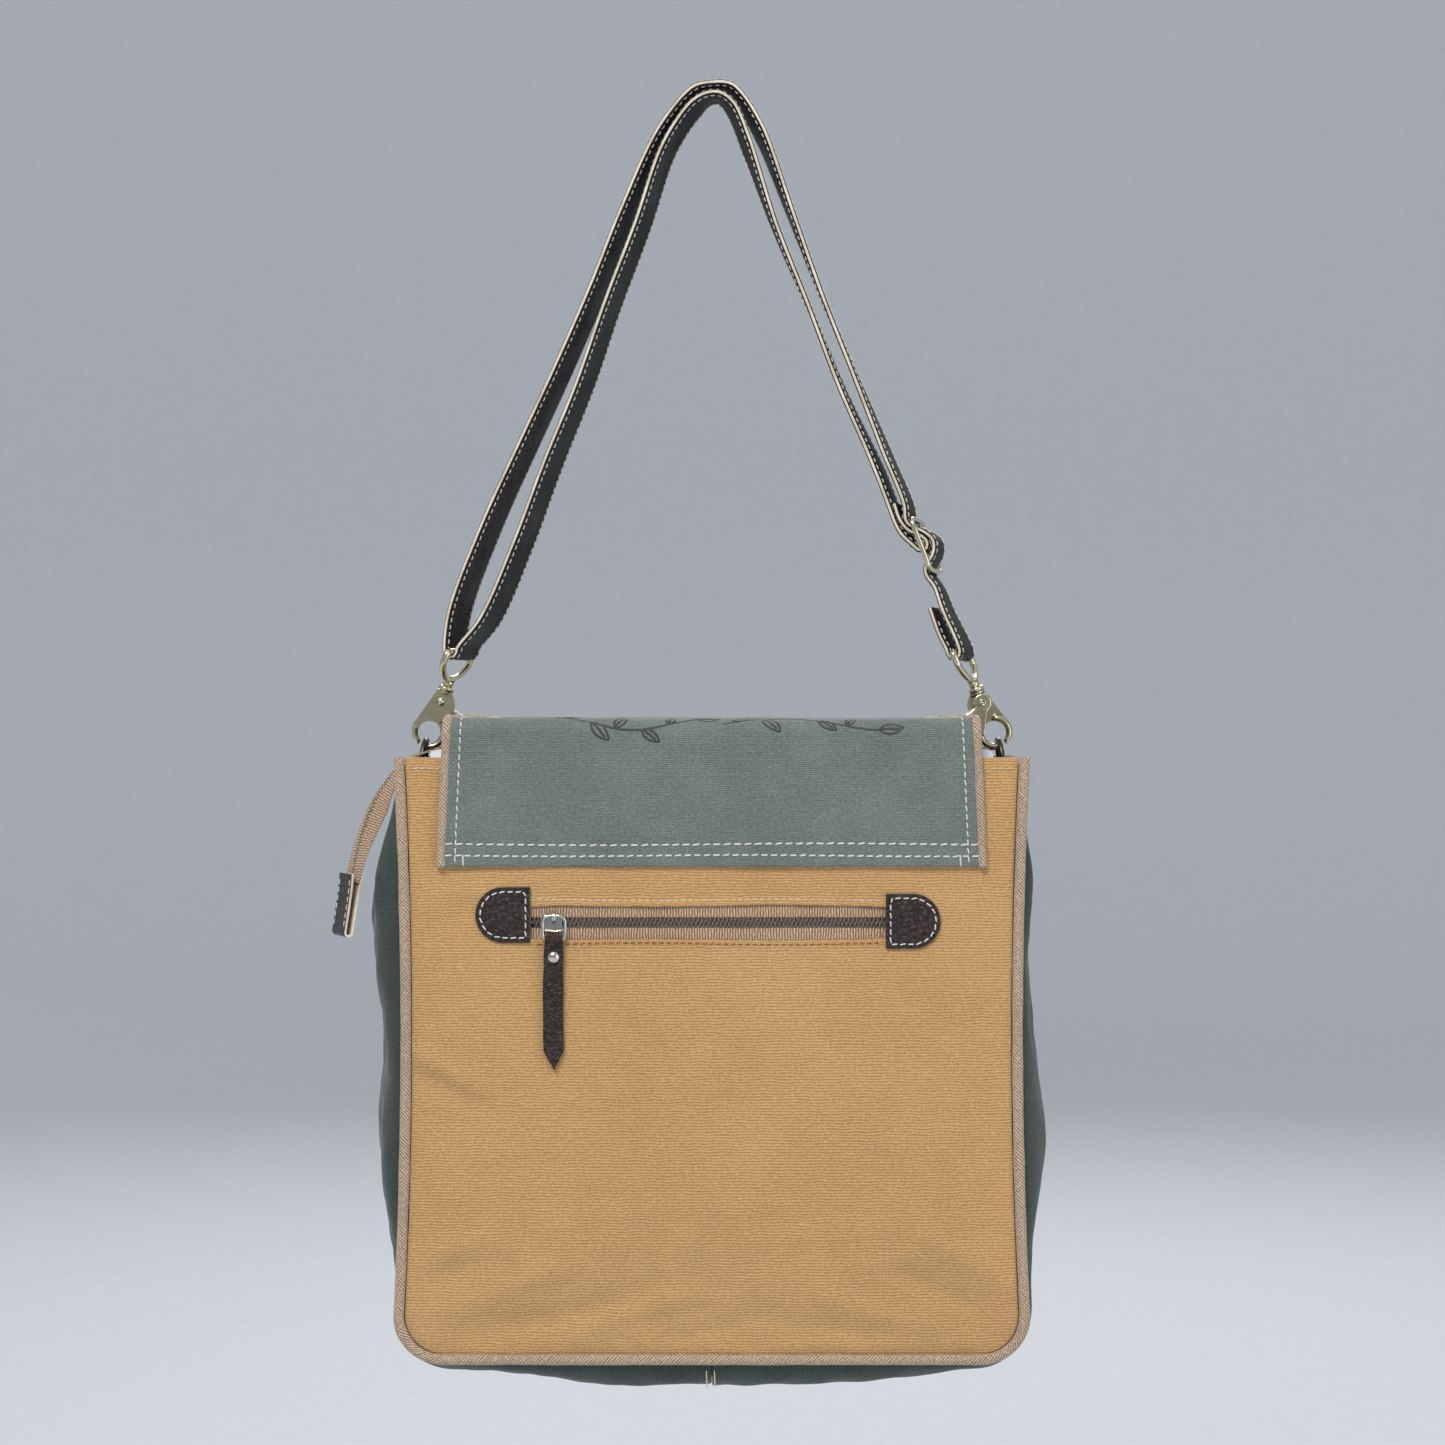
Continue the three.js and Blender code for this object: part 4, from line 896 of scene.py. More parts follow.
def build_flap_threads():
    s = flap_s
    rows = []
    back = s[(s > 1.5) & (s < 156)]
    front = s[s >= 156]
    edges = lambda where: np.interp(where, s, flap_edges)
    for sign in (-1, 1):
        rows.append(flap_row(back, sign * (edges(back) - 6.0), pitch=4.6))
    x = np.linspace(-147, 147, 160)
    rows.append(flap_row(12.2 + 0.5 * np.sin(x / 40), x, pitch=5.6, radius=0.45))
    rows.append(flap_row(6.0 + 0.4 * np.sin(x / 33 + 1), x, pitch=5.2, radius=0.45))
    for sign in (-1, 1):
        for at in (0.5, 11.0):
            bar = np.linspace(0.3, 6.5, 8)
            rows.append(flap_row(bar, np.full(8, sign * (147.3 - at)), pitch=6.2, fill=1.0, radius=0.42))
    threads("flap_back_threads", rows, pale_thread)
    rows = []
    for sign in (-1, 1):
        rows.append(flap_row(front, sign * (edges(front) - 6.0), pitch=4.6))
    x = np.linspace(-142, 142, 160)
    rows.append(flap_row(s[-1] - 12.0, x, pitch=5.2))
    rows.append(flap_row(s[-1] - 6.0, x, pitch=5.2))
    seam = threads("flap_front_threads", rows, pale_thread, body=None)
    fold(seam)


def leaf(s0, x0, turn, size):
    """One outlined leaf with its midrib, as lines in (s, x) on the flap."""
    t = np.linspace(0, 1, 24)
    wide = 0.26 * size * np.sin(math.pi * t) ** 0.8 * (1 - 0.35 * t)
    lines = [np.stack([t * size, wide], 1), np.stack([t * size, -wide], 1),
             np.stack([t * size * 0.82, 0.02 * size * np.sin(t * 5)], 1)]
    c, n = math.cos(turn), math.sin(turn)
    return [np.stack([s0 + p[:, 0] * n + p[:, 1] * c, x0 + p[:, 0] * c - p[:, 1] * n], 1) for p in lines]


def build_print():
    """A generic sprig of leaves drawn across the ridge of the flap."""
    lines = []
    t = np.linspace(0, 1, 60)
    for x0, x1 in ((-86, -8), (6, 92)):
        stem = np.stack([80 + 5 * np.sin(t * 5 + x0), x0 + (x1 - x0) * t], 1)
        lines.append(stem)
        for k, share in enumerate((0.08, 0.26, 0.44, 0.62, 0.8)):
            at = stem[int(share * 59)]
            lines += leaf(at[0], at[1], math.radians((-52 if k % 2 else 48) + 6 * k), 15 - k)
        lines += leaf(stem[-1][0], stem[-1][1], 0.1, 13)
    parts = []
    for line in lines:
        line = resample(line, max(8, int(lengths(line)[-1] / 1.2)))[0]
        d = unit(np.gradient(line, axis=0))
        side = np.stack([-d[:, 1], d[:, 0]], 1)
        width = 0.42 + 0.2 * np.sin(np.linspace(0, math.pi, len(line)))
        cols = [line + side * (width * k)[:, None] for k in (-1, 0, 1)]
        raised = [flap_points(c[:, 0], c[:, 1], h) for c, h in zip(cols, (0.02, 0.16, 0.02))]
        grid = np.stack(raised, 1)
        parts.append((grid, grid_faces(len(line), 3).tolist()))
    points, faces = joined(parts)
    thicken(piece("flap_leaf_print", points, faces, [ink], slot="green_canvas"), 0.1, 0)


# ---------------------------------------------------------------- threads on the panels
def panel_row(x, z, sign=-1, relief=back_relief, **options):
    x, z = np.broadcast_arrays(np.asarray(x, float), np.asarray(z, float))
    rise = relief(x, z)
    dx = (relief(x + 0.4, z) - rise) / 0.4
    dz = (relief(x, z + 0.4) - rise) / 0.4
    points = np.stack([x, sign * (FACE + rise), z], -1)
    return points, unit(np.stack([-dx, np.full_like(dx, sign * 1.0), -dz], -1)), options


def build_panel_threads():
    x = np.linspace(-165, 165, 200)
    hems = [panel_row(x, TOP - 6.2), panel_row(x, TOP - 6.2, 1, front_relief)]
    threads("hem_threads", hems, cream_thread)
    x0, x1, z0, z1 = SLOT
    x = np.linspace(x0 + 4, x1 - 4, 120)
    threads("pocket_threads_upper", [panel_row(x, z1 + 4.0 + 0.5 * np.sin(x / 23), pitch=3.9)], cream_thread)
    threads("pocket_threads_lower", [panel_row(x, z0 - 2.9 - 0.5 * np.sin(x / 23), pitch=3.9, radius=0.28)],
            brown_thread)


# ---------------------------------------------------------------- back pocket's zip
def coil_teeth(x, y, z, half):
    """Two rows of little loops along X that mesh at the middle."""
    lines = []
    rise = 0.5 * np.sin(np.linspace(0, 1, 6) * math.pi)
    for row, sign in ((0, 1), (1, -1)):
        for at in x[row::2]:
            lean = at + np.linspace(-0.3, 0.3, 6) * sign
            lines.append(np.stack([lean, y - rise, z + sign * np.linspace(-0.5, half, 6)], 1))
    return lines


def build_teeth(name, lines, facing, radius, material, body="bag", **more):
    points, faces = [], []
    ring = circle(1.0, 6)
    start = 0
    for line in lines:
        across, out = stations(line, facing)
        r = radius * np.array([0.7, 1, 1, 1, 1, 0.7])
        grid = sweep(line, across, out, ring[None] * r[:, None, None])
        points.append(grid.reshape(-1, 3))
        one = grid_faces(6, 6, wrap_cols=True).tolist() + [list(range(6)), list(range(30, 36))]
        faces += [[v + start for v in f] for f in one]
        start += 36
    return outward(piece(name, np.concatenate(points), faces, [material], body=body, **more))


def tape_strip(name, x, y0, y1, z0, z1, thickness, replaced, seed, material=None, slot="zip_tape", drift=0.2):
    """A strip of tape along X between two edges that are given as [y, z]."""
    t = np.linspace(0, 1, 7)
    grid = np.zeros((len(x), 7, 3))
    grid[..., 0] = x[:, None]
    grid[..., 1] = y0 + (y1 - y0) * t[None]
    grid[..., 2] = z0 + (z1 - z0) * t[None]
    grid[..., 1] += drift * ripple(x[:, None], t[None] * 8, seed, 34)
    width = math.hypot(y1 - y0, z1 - z0)
    flat = np.stack(np.broadcast_arrays(t[None] * width, x[:, None]), -1)
    return cloth_piece(name, grid, flat, thickness, material or tape, replaces=replaced, slot=slot)


def d_shape(x, z, side, half=15.2, inset=0.0, steps=22):
    turn = np.radians(np.linspace(-90, 90, steps))
    r = half - inset
    arc = [(x + side * (15 + r * math.cos(a)), z + r * math.sin(a)) for a in turn]
    return np.array([(x + side * inset, z - r)] + arc + [(x + side * inset, z + r)])


def build_pocket_zip():
    x = np.linspace(SLOT[0] - 6, SLOT[1] + 6, 100)
    y = -FACE + 1.9
    tape_strip("pocket_tape_upper", x, y, y + 0.1, -451.5, -462.4, 0.8, ["pocket_zip_tape_upper"], 71)
    tape_strip("pocket_tape_lower", x, y, y + 0.1, -467.6, -478.5, 0.8, ["pocket_zip_tape_lower"], 72)
    teeth = np.arange(SLOT[0] + 3, SLOT[1] - 1, TOOTH)
    lines = coil_teeth(teeth, -FACE + 1.0, -465.0, 2.6)
    build_teeth("pocket_coil", lines, (0, 1, 0), TOOTH_R, coil, replaces=["pocket_zip_coil"], slot="zip_coil")
    bed = np.stack([x, np.full_like(x, -FACE + 2.0), np.full_like(x, -465.0)], 1)
    tube("pocket_coil_cord", bed, (0, 1, 0), 0.8, coil, sides=8, slot="zip_coil")
    rows = []
    for side, name, z, at in ((-1, "left", -460.5, SLOT[0] + 1), (1, "right", -464.0, SLOT[1] - 1)):
        shape = d_shape(at, z, side)
        face = -FACE - 0.5
        tab = plate(f"pocket_tab_{name}_hide", shape, face - 1.7, face, 0.45, hide,
                    replaces=[f"pocket_tab_{name}"], slot="leather")
        tab.data.materials.append(worn_edge)
        for polygon in tab.data.polygons[: len(shape)]:
            polygon.material_index = 1
        loop = d_shape(at, z, side, inset=2.6)
        loop = np.concatenate([loop, loop[:1]])
        loop = resample(loop, 120)[0]
        rows.append((np.insert(loop, 1, face - 1.72, axis=1), np.tile([0.0, -1.0, 0.0], (120, 1)),
                     dict(pitch=4.3, fill=0.7, radius=0.34, lift=0.05)))
    threads("pocket_tab_threads", rows, white_thread)


PULL = dict(x=-86.5, top=-475.3, tip=-545.4, face=-48.8)


def build_pocket_pull():
    """A strip of hide folded round the wire ring, riveted and cut to a point."""
    centre = PULL["x"]
    narrowing = 10.5                     # length of the point
    shoulder = PULL["tip"] + narrowing
    z = np.concatenate([np.linspace(PULL["top"] + 0.6, shoulder, 40),
                        np.linspace(shoulder, PULL["tip"], 9)[1:]])
    half = np.where(z > shoulder, 5.6, 5.6 * (z - PULL["tip"]) / narrowing)
    half = half + 0.12 * ripple(z, z * 0, 81, 20)
    half = np.maximum(half, 0.25)
    half *= 1 - 0.1 * np.exp(-(((z - PULL["top"]) / 5) ** 2))
    q = np.linspace(-1, 1, 9)
    bow = 0.9 * np.sin((z - PULL["top"]) / 70 * math.pi)
    sway = 0.4 * np.sin(z / 19)[:, None]
    down = np.broadcast_to(z[:, None], (len(z), len(q)))
    wide = centre + half[:, None] * q[None] + sway
    narrow = centre + half[:, None] * q[None] * 0.98 + sway
    face = PULL["face"] - 0.05 + bow[:, None] * -0.4 - 0.12 * (1 - q[None] ** 2)
    back = (PULL["face"] + 1.1) + bow[:, None] * -0.4 - 0.1 * (1 - q[None] ** 2) + 0.15
    cloth_piece("pocket_pull_front", np.stack([wide, face, down], -1), np.stack([wide, down], -1), 1.1, hide,
                body="pocket_pull", replaces=["pocket_pull_leather"], slot="leather")
    cloth_piece("pocket_pull_back", np.stack([wide, back, down], -1), np.stack([narrow, down], -1), 1.15,
                grey_edge, body="pocket_pull", slot="leather")
    turn = np.radians(np.linspace(-60, 240, 18))
    r = 1.5
    wrap = np.stack([np.full(18, centre), -47.7 + r * np.cos(turn), -474.1 + r * np.sin(turn)], 1)
    wrap = np.concatenate([[[centre, -46.75, -478.5]], wrap, [[centre, -48.15, -478.5]]])
    across, out = stations(wrap, (1, 0, 0))
    section = np.array([(v, 0.0) for v in np.linspace(-5.0, 5.0, 7)])
    grid = sweep(wrap, across, out, section)
    flat = np.stack(np.broadcast_arrays(np.linspace(-5, 5, 7)[None], lengths(wrap)[:, None]), -1)
    cloth_piece("pocket_pull_loop", grid, flat, 0.9, hide, body="pocket_pull", flip=True, slot="leather")
    rivet_z = -472.9 - 10.5
    profile = [(0.01, 1.75), (1.2, 1.65), (2.2, 1.3), (2.95, 0.75), (3.3, 0.25), (3.35, 0.0), (3.0, -0.2),
               (0.01, -0.2)]
    points, faces = lathe(profile, (centre, PULL["face"] - 0.35, rivet_z), (0, -1, 0))
    outward(piece("pocket_pull_rivet_dome", points, faces, [nickel], body="pocket_pull",
                  replaces=["pocket_pull_rivet"], slot="antique_silver"))


# ---------------------------------------------------------------- wires
def bend_power(value, exponent):
    return np.where(np.abs(value) < 1e-9, 0.0, np.sign(value) * np.abs(value) ** exponent)


def wire_loop(name, curve, wire, x_axis, y_axis, origin, material, body, replaced, slot, sides=14, extra=()):
    """A closed loop of round wire. curve is its centre line in its own plane."""
    x_axis, y_axis = unit(np.asarray(x_axis, float)), unit(np.asarray(y_axis, float))
    closed = np.concatenate([curve, curve[:1]])
    curve = resample(closed, 121)[0][:-1]
    points = np.asarray(origin) + curve[:, :1] * x_axis + curve[:, 1:] * y_axis
    normal = np.cross(x_axis, y_axis)
    tangent = unit(np.roll(points, -1, 0) - np.roll(points, 1, 0))
    out = np.cross(np.broadcast_to(normal, tangent.shape), tangent)
    grid = sweep(points, np.broadcast_to(normal, out.shape), out, circle(wire, sides))
    faces = grid_faces(120, sides, wrap_rows=True, wrap_cols=True).tolist()
    parts = [(grid, faces), *extra]
    all_points, all_faces = joined(parts)
    return outward(piece(name, all_points, all_faces, [material], body=body, replaces=replaced, slot=slot))


def level(yaw):
    return np.array([math.sin(math.radians(yaw)), math.cos(math.radians(yaw)), 0.0])


TILT = {"left": 21.7, "right": 23.5}
RING_Y, RING_INSET, RING_WIRE, RING_RISE = 18.0, 10.5, 1.5, 13.6
HOOK_LENGTH, LOOP_IN, EYE_RISE, EYE_WIRE, EYE_YAW = 41.7, 6.1, 7.5, 1.75, 18


def side_places(side):
    out = -1 if side == "left" else 1
    bar = np.array([out * (HALF - RING_INSET), RING_Y, TOP - 4])
    top = bar + [-out * 2.2, 0, RING_RISE]
    tilt = math.radians(TILT[side])
    down = np.array([out * math.sin(tilt), 0, -math.cos(tilt)])
    loop = top - down * (LOOP_IN - RING_WIRE - 0.4)
    eye = loop - down * HOOK_LENGTH
    return dict(out=out, bar=bar, top=top, down=down, loop=loop, eye=eye, eye_bar=eye - down * EYE_RISE)


SIDES = {side: side_places(side) for side in ("left", "right")}


LOOP_Z, RIVET_Z, LOOP_MID, LOOP_OUT = -HOOK_LENGTH, -23.4, 8.15, 10.2


def hook_place(side, points):
    """From the hook's own frame, hung from the eye's centre, to the bag's."""
    points = np.asarray(points, float)
    if side == "right":
        points = points * [-1, -1, 1]
    turn = math.radians(-SIDES[side]["out"] * TILT[side])
    c, s = math.cos(turn), math.sin(turn)
    x, y, z = np.moveaxis(points, -1, 0)
    return np.stack([c * x + s * z, y, c * z - s * x], -1) + SIDES[side]["eye"]


def rod(points, wide, deep, sides=14):
    """A round-ended bar in the plane of the hook, wide in that plane and deep across it."""
    points = np.asarray(points, float)
    count = len(points)
    t = np.linspace(0, 1, 28)
    at = np.interp(t, np.linspace(0, 1, count), np.arange(count))
    pick = lambda v: np.interp(at, np.arange(count), np.broadcast_to(np.asarray(v, float), (count,)))
    line = np.stack([pick(points[:, k]) for k in range(3)], 1)
    across, out = stations(line, (0, 1, 0))
    cap = np.sqrt(np.clip(1 - np.maximum(1 - 9 * np.minimum(t, 1 - t), 0) ** 2, 0.02, 1))
    ring = circle(1.0, sides)[None] * np.stack([pick(deep) * cap, pick(wide) * cap], 1)[:, None]
    grid = sweep(line, across, out, ring)
    faces = grid_faces(28, sides, wrap_cols=True).tolist()
    return grid.reshape(-1, 3), faces + [list(range(sides)), list(range(27 * sides, 28 * sides))]


def flat_part(shape, y0, y1):
    shape = np.asarray(shape, float)
    n = len(shape)
    points = np.concatenate([np.insert(shape, 1, y, axis=1) for y in (y0, y1)])
    sides = [[i, (i + 1) % n, n + (i + 1) % n, n + i] for i in range(n)]
    return points, sides + [list(range(n))[::-1], list(range(n, 2 * n))]


def loop_arc(radius, start, end, steps=24):
    a = np.radians(np.linspace(start, end, steps))
    return np.stack([radius * np.cos(a), LOOP_Z + radius * np.sin(a)], 1)


def melt(name, parts, voxel, rounds, material, place, **more):
    """Overlapping solids run together into one smooth casting."""
    points, faces = joined(parts)
    obj = outward(piece(name, place(points), faces, [material], **more))
    remesh = obj.modifiers.new("cast", "REMESH")
    remesh.mode = "VOXEL"
    remesh.voxel_size = voxel * MM
    remesh.use_smooth_shade = True
    soften = obj.modifiers.new("soften", "SMOOTH")
    soften.factor = 0.6
    soften.iterations = rounds
    return obj


def build_hook(side):
    place = lambda points: hook_place(side, points)
    quad = lambda a, b, c: [(1 - u) ** 2 * np.array(a) + 2 * u * (1 - u) * np.array(b) + u * u * np.array(c)
                            for u in np.linspace(0, 1, 8)]
    arm = np.insert(loop_arc(LOOP_MID, 104, 252, 30), 1, 0.0, axis=1)
    rear = [(-4.2, -16.5), (-5.4, -21), (-9.2, LOOP_Z + 5), *loop_arc(LOOP_OUT, 165, 180, 4),
            *loop_arc(LOOP_IN + 0.3, 180, 62, 18), (8.2, -27.5), *quad((8.6, -25), (9.2, -20), (4.2, -16.5))]
    collar = lathe([(0.4, -13.5), (3.4, -13.7), (4.5, -14.2), (4.8, -15.1), (4.5, -16.0), (3.9, -16.6),
                    (4.1, -17.8), (0.4, -18.6)], (0, 0, 0), (0, 0, 1))
    stud = lathe([(0.3, 0), (1.9, 0), (1.7, 0.6), (1.0, 1.0), (0.3, 1.1)], (0, -2.9, RIVET_Z), (0, -1, 0), 18)
    melt(f"hook_body_{side}_casting",
         [rod(arm, np.linspace(2.1, 1.75, 30), 2.7), flat_part(rear, -3, -0.6), collar, stud],
         0.3, 4, brass, place, body=f"{side}_hook", replaces=[f"hook_body_{side}"], slot="antique_brass")
    head = lathe([(0.4, 0.3), (5.1, 0.3), (5.7, 1.0), (5.6, 2.2), (4.7, 3.0), (0.4, 3.3)],
                 (0, 0, RIVET_Z), (0, 1, 0))
    neck = [(5.2, RIVET_Z - 1), (-1, RIVET_Z - 4.8), (3.6, LOOP_Z + 5.4), *loop_arc(LOOP_IN, 52, 8, 10),
            *loop_arc(LOOP_OUT, 8, 9, 2), *quad((9.6, LOOP_Z + 6), (9, -32), (5.2, RIVET_Z - 1))]
    gate = np.insert(loop_arc(LOOP_MID, -101, 16, 26), 1, 0.3, axis=1)
    spur = [(2, 1.8, RIVET_Z - 1.6), (8, 1.8, RIVET_Z - 3.4), (15, 1.8, RIVET_Z - 3.9),
            (21, 1.8, RIVET_Z - 3.4)]
    melt(f"hook_lever_{side}_casting",
         [head, flat_part(neck, 0.5, 3.0), rod(gate, 2.0, 2.6), rod(spur, [2.3, 2.0, 1.6, 1.8], 1.4)],
         0.3, 4, brass, place, body=f"{side}_lever", replaces=[f"hook_lever_{side}"], slot="antique_brass")
    profile = [(0.01, 0.95), (0.5, 0.9), (0.7, 0.5), (1.05, 0.5), (1.45, 0.95), (1.9, 0.7), (2.05, 0.1),
               (0.01, 0.1)]
    points, faces = lathe(profile, (0, 3.1, RIVET_Z), (0, 1, 0), 24)
    outward(piece(f"lever_rivet_{side}_dome", place(points), faces, [brass], body=f"{side}_hook",
                  replaces=[f"lever_rivet_{side}"], slot="antique_brass"))
    turns = np.linspace(0, 3 * TAU, 90)
    line = np.stack([2.7 * np.cos(turns), -0.65 + 0.8 * turns / (3 * TAU), RIVET_Z + 2.7 * np.sin(turns)], 1)
    tube(f"lever_spring_{side}_coil", place(line), (0, 1, 0.01), 0.3, nickel, sides=8,
         body=f"{side}_hook", replaces=[f"lever_spring_{side}"], slot="antique_silver")


def build_rings():
    turn = np.linspace(0, TAU, 240, endpoint=False)
    c, s = np.cos(turn), np.sin(turn)
    for side, p in SIDES.items():
        curve = np.stack([
            12.5 * np.where(s > 0, bend_power(c, 0.8), bend_power(c, 0.5)),
            RING_RISE * bend_power(np.maximum(s, 0), 0.8)], 1)
        rise = unit(p["top"] - p["bar"])
        wire_loop(f"d_ring_{side}_wire", curve, RING_WIRE, (0, 1, 0), rise, p["bar"], bronze, "bag",
                  [f"d_ring_{side}"], "dark_bronze")
        width = 19 * (1 + 0.3 * np.minimum(s, 0))
        curve = np.stack([
            width * np.where(s > 0, bend_power(c, 0.2), bend_power(c, 0.6)),
            np.where(s > 0, EYE_RISE * bend_power(s, 0.2), 9 * s)], 1)
        up = -p["down"]
        profile = [(0.4, -8.0), (2.6, -8.4), (3.4, -9.0), (3.5, -9.7), (2.9, -10.2), (2.7, -10.6),
                   (3.1, -11.2),
                   (3.2, -12.6), (2.8, -13.2), (2.75, -13.7), (0.4, -13.9)]
        barrel = lathe(profile, p["eye"], up)
        wire_loop(f"hook_eye_{side}_wire", curve, EYE_WIRE + 0.3, level(EYE_YAW), up, p["eye"], brass, "bag",
                  [f"hook_eye_{side}"], "antique_brass", extra=[barrel])
        build_hook(side)


def build_ring_tabs():
    for side, p in SIDES.items():
        bar = p["bar"]
        radius = RING_WIRE + 1.7
        turn = np.radians(np.linspace(180, 0, 20))
        low = TOP - 26
        xs = [bar[0] - radius] * 12 + list(bar[0] + radius * np.cos(turn)) + [bar[0] + radius] * 12
        zs = list(np.linspace(low, bar[2], 13)[:-1]) + list(bar[2] + radius * np.sin(turn))
        zs += list(np.linspace(bar[2], low, 13)[1:])
        line = np.stack([np.array(xs), np.full(len(xs), RING_Y), np.array(zs)], 1)
        across, out = stations(line, (0, 1, 0))
        v = np.linspace(-9.5, 9.5, 11)
        section = np.stack([v, np.full(11, 0.6)], 1)
        grid = sweep(line, across, out, section)
        flat = np.stack(np.broadcast_arrays(v[None], lengths(line)[:, None]), -1)
        cloth_piece(f"ring_tab_{side}_cloth", grid, flat, 1.1, dark_green, flip=True,
                    replaces=[f"ring_tab_{side}"], slot="gusset_canvas")


# ---------------------------------------------------------------- strap
BUCKLE = np.array([0.862 * SIDES["right"]["eye_bar"][0], 18.8, 0.807 * SIDES["right"]["eye_bar"][2]])
BUCKLE_ALONG = unit(np.array([0.356, 0.0, -0.934]))
BUCKLE_OUT = unit(np.array([0.934, 0.0, 0.356]))
BUCKLE_YAW = 13
STRAP_W, STRAP_T, APEX_Y = 32.0, 2.8, 24.0


def on_left(out, drop, yaw):
    bar = SIDES["left"]["eye_bar"]
    return (bar[0] * out, bar[2] * drop, yaw)


def on_right(out, drop, yaw):
    return (BUCKLE[0] * out, BUCKLE[2] * drop, yaw)


def at_buckle(along, out):
    p = BUCKLE + BUCKLE_ALONG * along + BUCKLE_OUT * out
    return (p[0], p[2], BUCKLE_YAW)


def round_bar(side, angle, yaw=18):
    bar = SIDES[side]["eye_bar"]
    r = EYE_WIRE + 0.4 + STRAP_T / 2
    return (bar[0] + r * math.cos(math.radians(angle)), bar[2] + r * math.sin(math.radians(angle)), yaw)


def strap_route():
    ends = SIDES["right"]["eye_bar"]
    return [
        # The sewn end, beside itself and round the buckle's middle bar.
        *[at_buckle(*p) for p in (
            (-27, -6.2), (-17, -6.4), (-10, -3.9), (-4.6, 1.6), (-1, 3.4), (2.5, 2.4), (3.5, 0),
            (2.5, -2.4), (-1.5, -4.6), (-9, -8.3), (-17, -9.6), (-27, -9.5))],
        # Up the right leg, over the hang point and down the left leg.
        *[on_right(*p) for p in (
            (0.776, 0.825, 13), (0.604, 0.646, 8), (0.454, 0.467, 4), (0.297, 0.287, 0),
            (0.165, 0.107, -7))],
        (10.9, -4.8, -6), (4, 1.5, 0), (-3, 0.6, 6), (-9.7, -4.9, 12),
        *[on_left(*p) for p in (
            (0.172, 0.087, 12), (0.281, 0.231, 13), (0.4, 0.374, 14), (0.508, 0.517, 15),
            (0.635, 0.66, 16), (0.752, 0.803, 17), (0.885, 0.942, 18))],
        *[round_bar("left", a) for a in (20, -30, -90, -150, 180)],
        # Back up the left leg and down the right.
        *[on_left(*p) for p in (
            (1.008, 0.93, 18), (0.88, 0.773, 17), (0.738, 0.63, 16), (0.593, 0.487, 15),
            (0.457, 0.344, 14), (0.332, 0.2, 13), (0.187, 0.057, 12))],
        (-8, 4.9, 9), (1, 7.2, 0), (9.5, 6.4, -4), (16, 0, -6),
        *[on_right(*p) for p in (
            (0.227, 0.078, -7), (0.371, 0.258, -1), (0.514, 0.438, 4), (0.667, 0.617, 7),
            (0.821, 0.796, 12))],
        # Through the buckle, round the right eye and back up beside itself.
        *[at_buckle(*p) for p in (
            (-24, -1.2), (-16.5, -3.4), (-13, -2.6), (-6, 4), (0, 6.9), (6.5, 4.6), (12.5, -2.2),
            (16.5, -3.7), (25, -1.6))],
        (ends[0] - 7.5, ends[2] + 25, 15),
        *[round_bar("right", a) for a in (25, -30, -90, -150, 175)],
        (ends[0] - 8.5, ends[2] + 10, 17), (ends[0] - 14.2, ends[2] + 25, 15),
    ]


def spline(points, steps):
    """A centripetal Catmull-Rom curve through the points, with its tangents."""
    p = np.concatenate([[2 * points[0] - points[1]], points, [2 * points[-1] - points[-2]]])
    at, slopes = [], []
    for k in range(len(points) - 1):
        p0, p1, p2, p3 = p[k : k + 4]
        d0, d1, d2 = (max(np.sum((b - a) ** 2), 1e-16) ** 0.25 for a, b in ((p0, p1), (p1, p2), (p2, p3)))
        t1 = ((p1 - p0) / d0 - (p2 - p0) / (d0 + d1) + (p2 - p1) / d1) * d1
        t2 = ((p2 - p1) / d1 - (p3 - p1) / (d1 + d2) + (p3 - p2) / d2) * d1
        last = k == len(points) - 2
        t = np.linspace(0, 1, steps + 1)[: None if last else -1, None]
        c2, c3 = -3 * p1 + 3 * p2 - 2 * t1 - t2, 2 * p1 - 2 * p2 + t1 + t2
        at.append(p1 + t1 * t + c2 * t**2 + c3 * t**3)
        slopes.append(t1 + 2 * c2 * t + 3 * c3 * t**2)
    return np.concatenate(at), np.concatenate(slopes)


def strap_frames(steps=8):
    route = np.array(strap_route())
    x, z, yaw = route.T
    depth = APEX_Y + (RING_Y - APEX_Y) * z / SIDES["left"]["eye_bar"][2]
    points, tangents = spline(np.stack([x, depth, z], 1), steps)
    turn = np.radians(np.interp(np.arange(len(points)) / steps, np.arange(len(yaw)), yaw))
    across = np.stack([np.sin(turn), np.cos(turn), 0 * turn], 1)
    out = unit(np.cross(across, unit(tangents)))
    return points, across, out


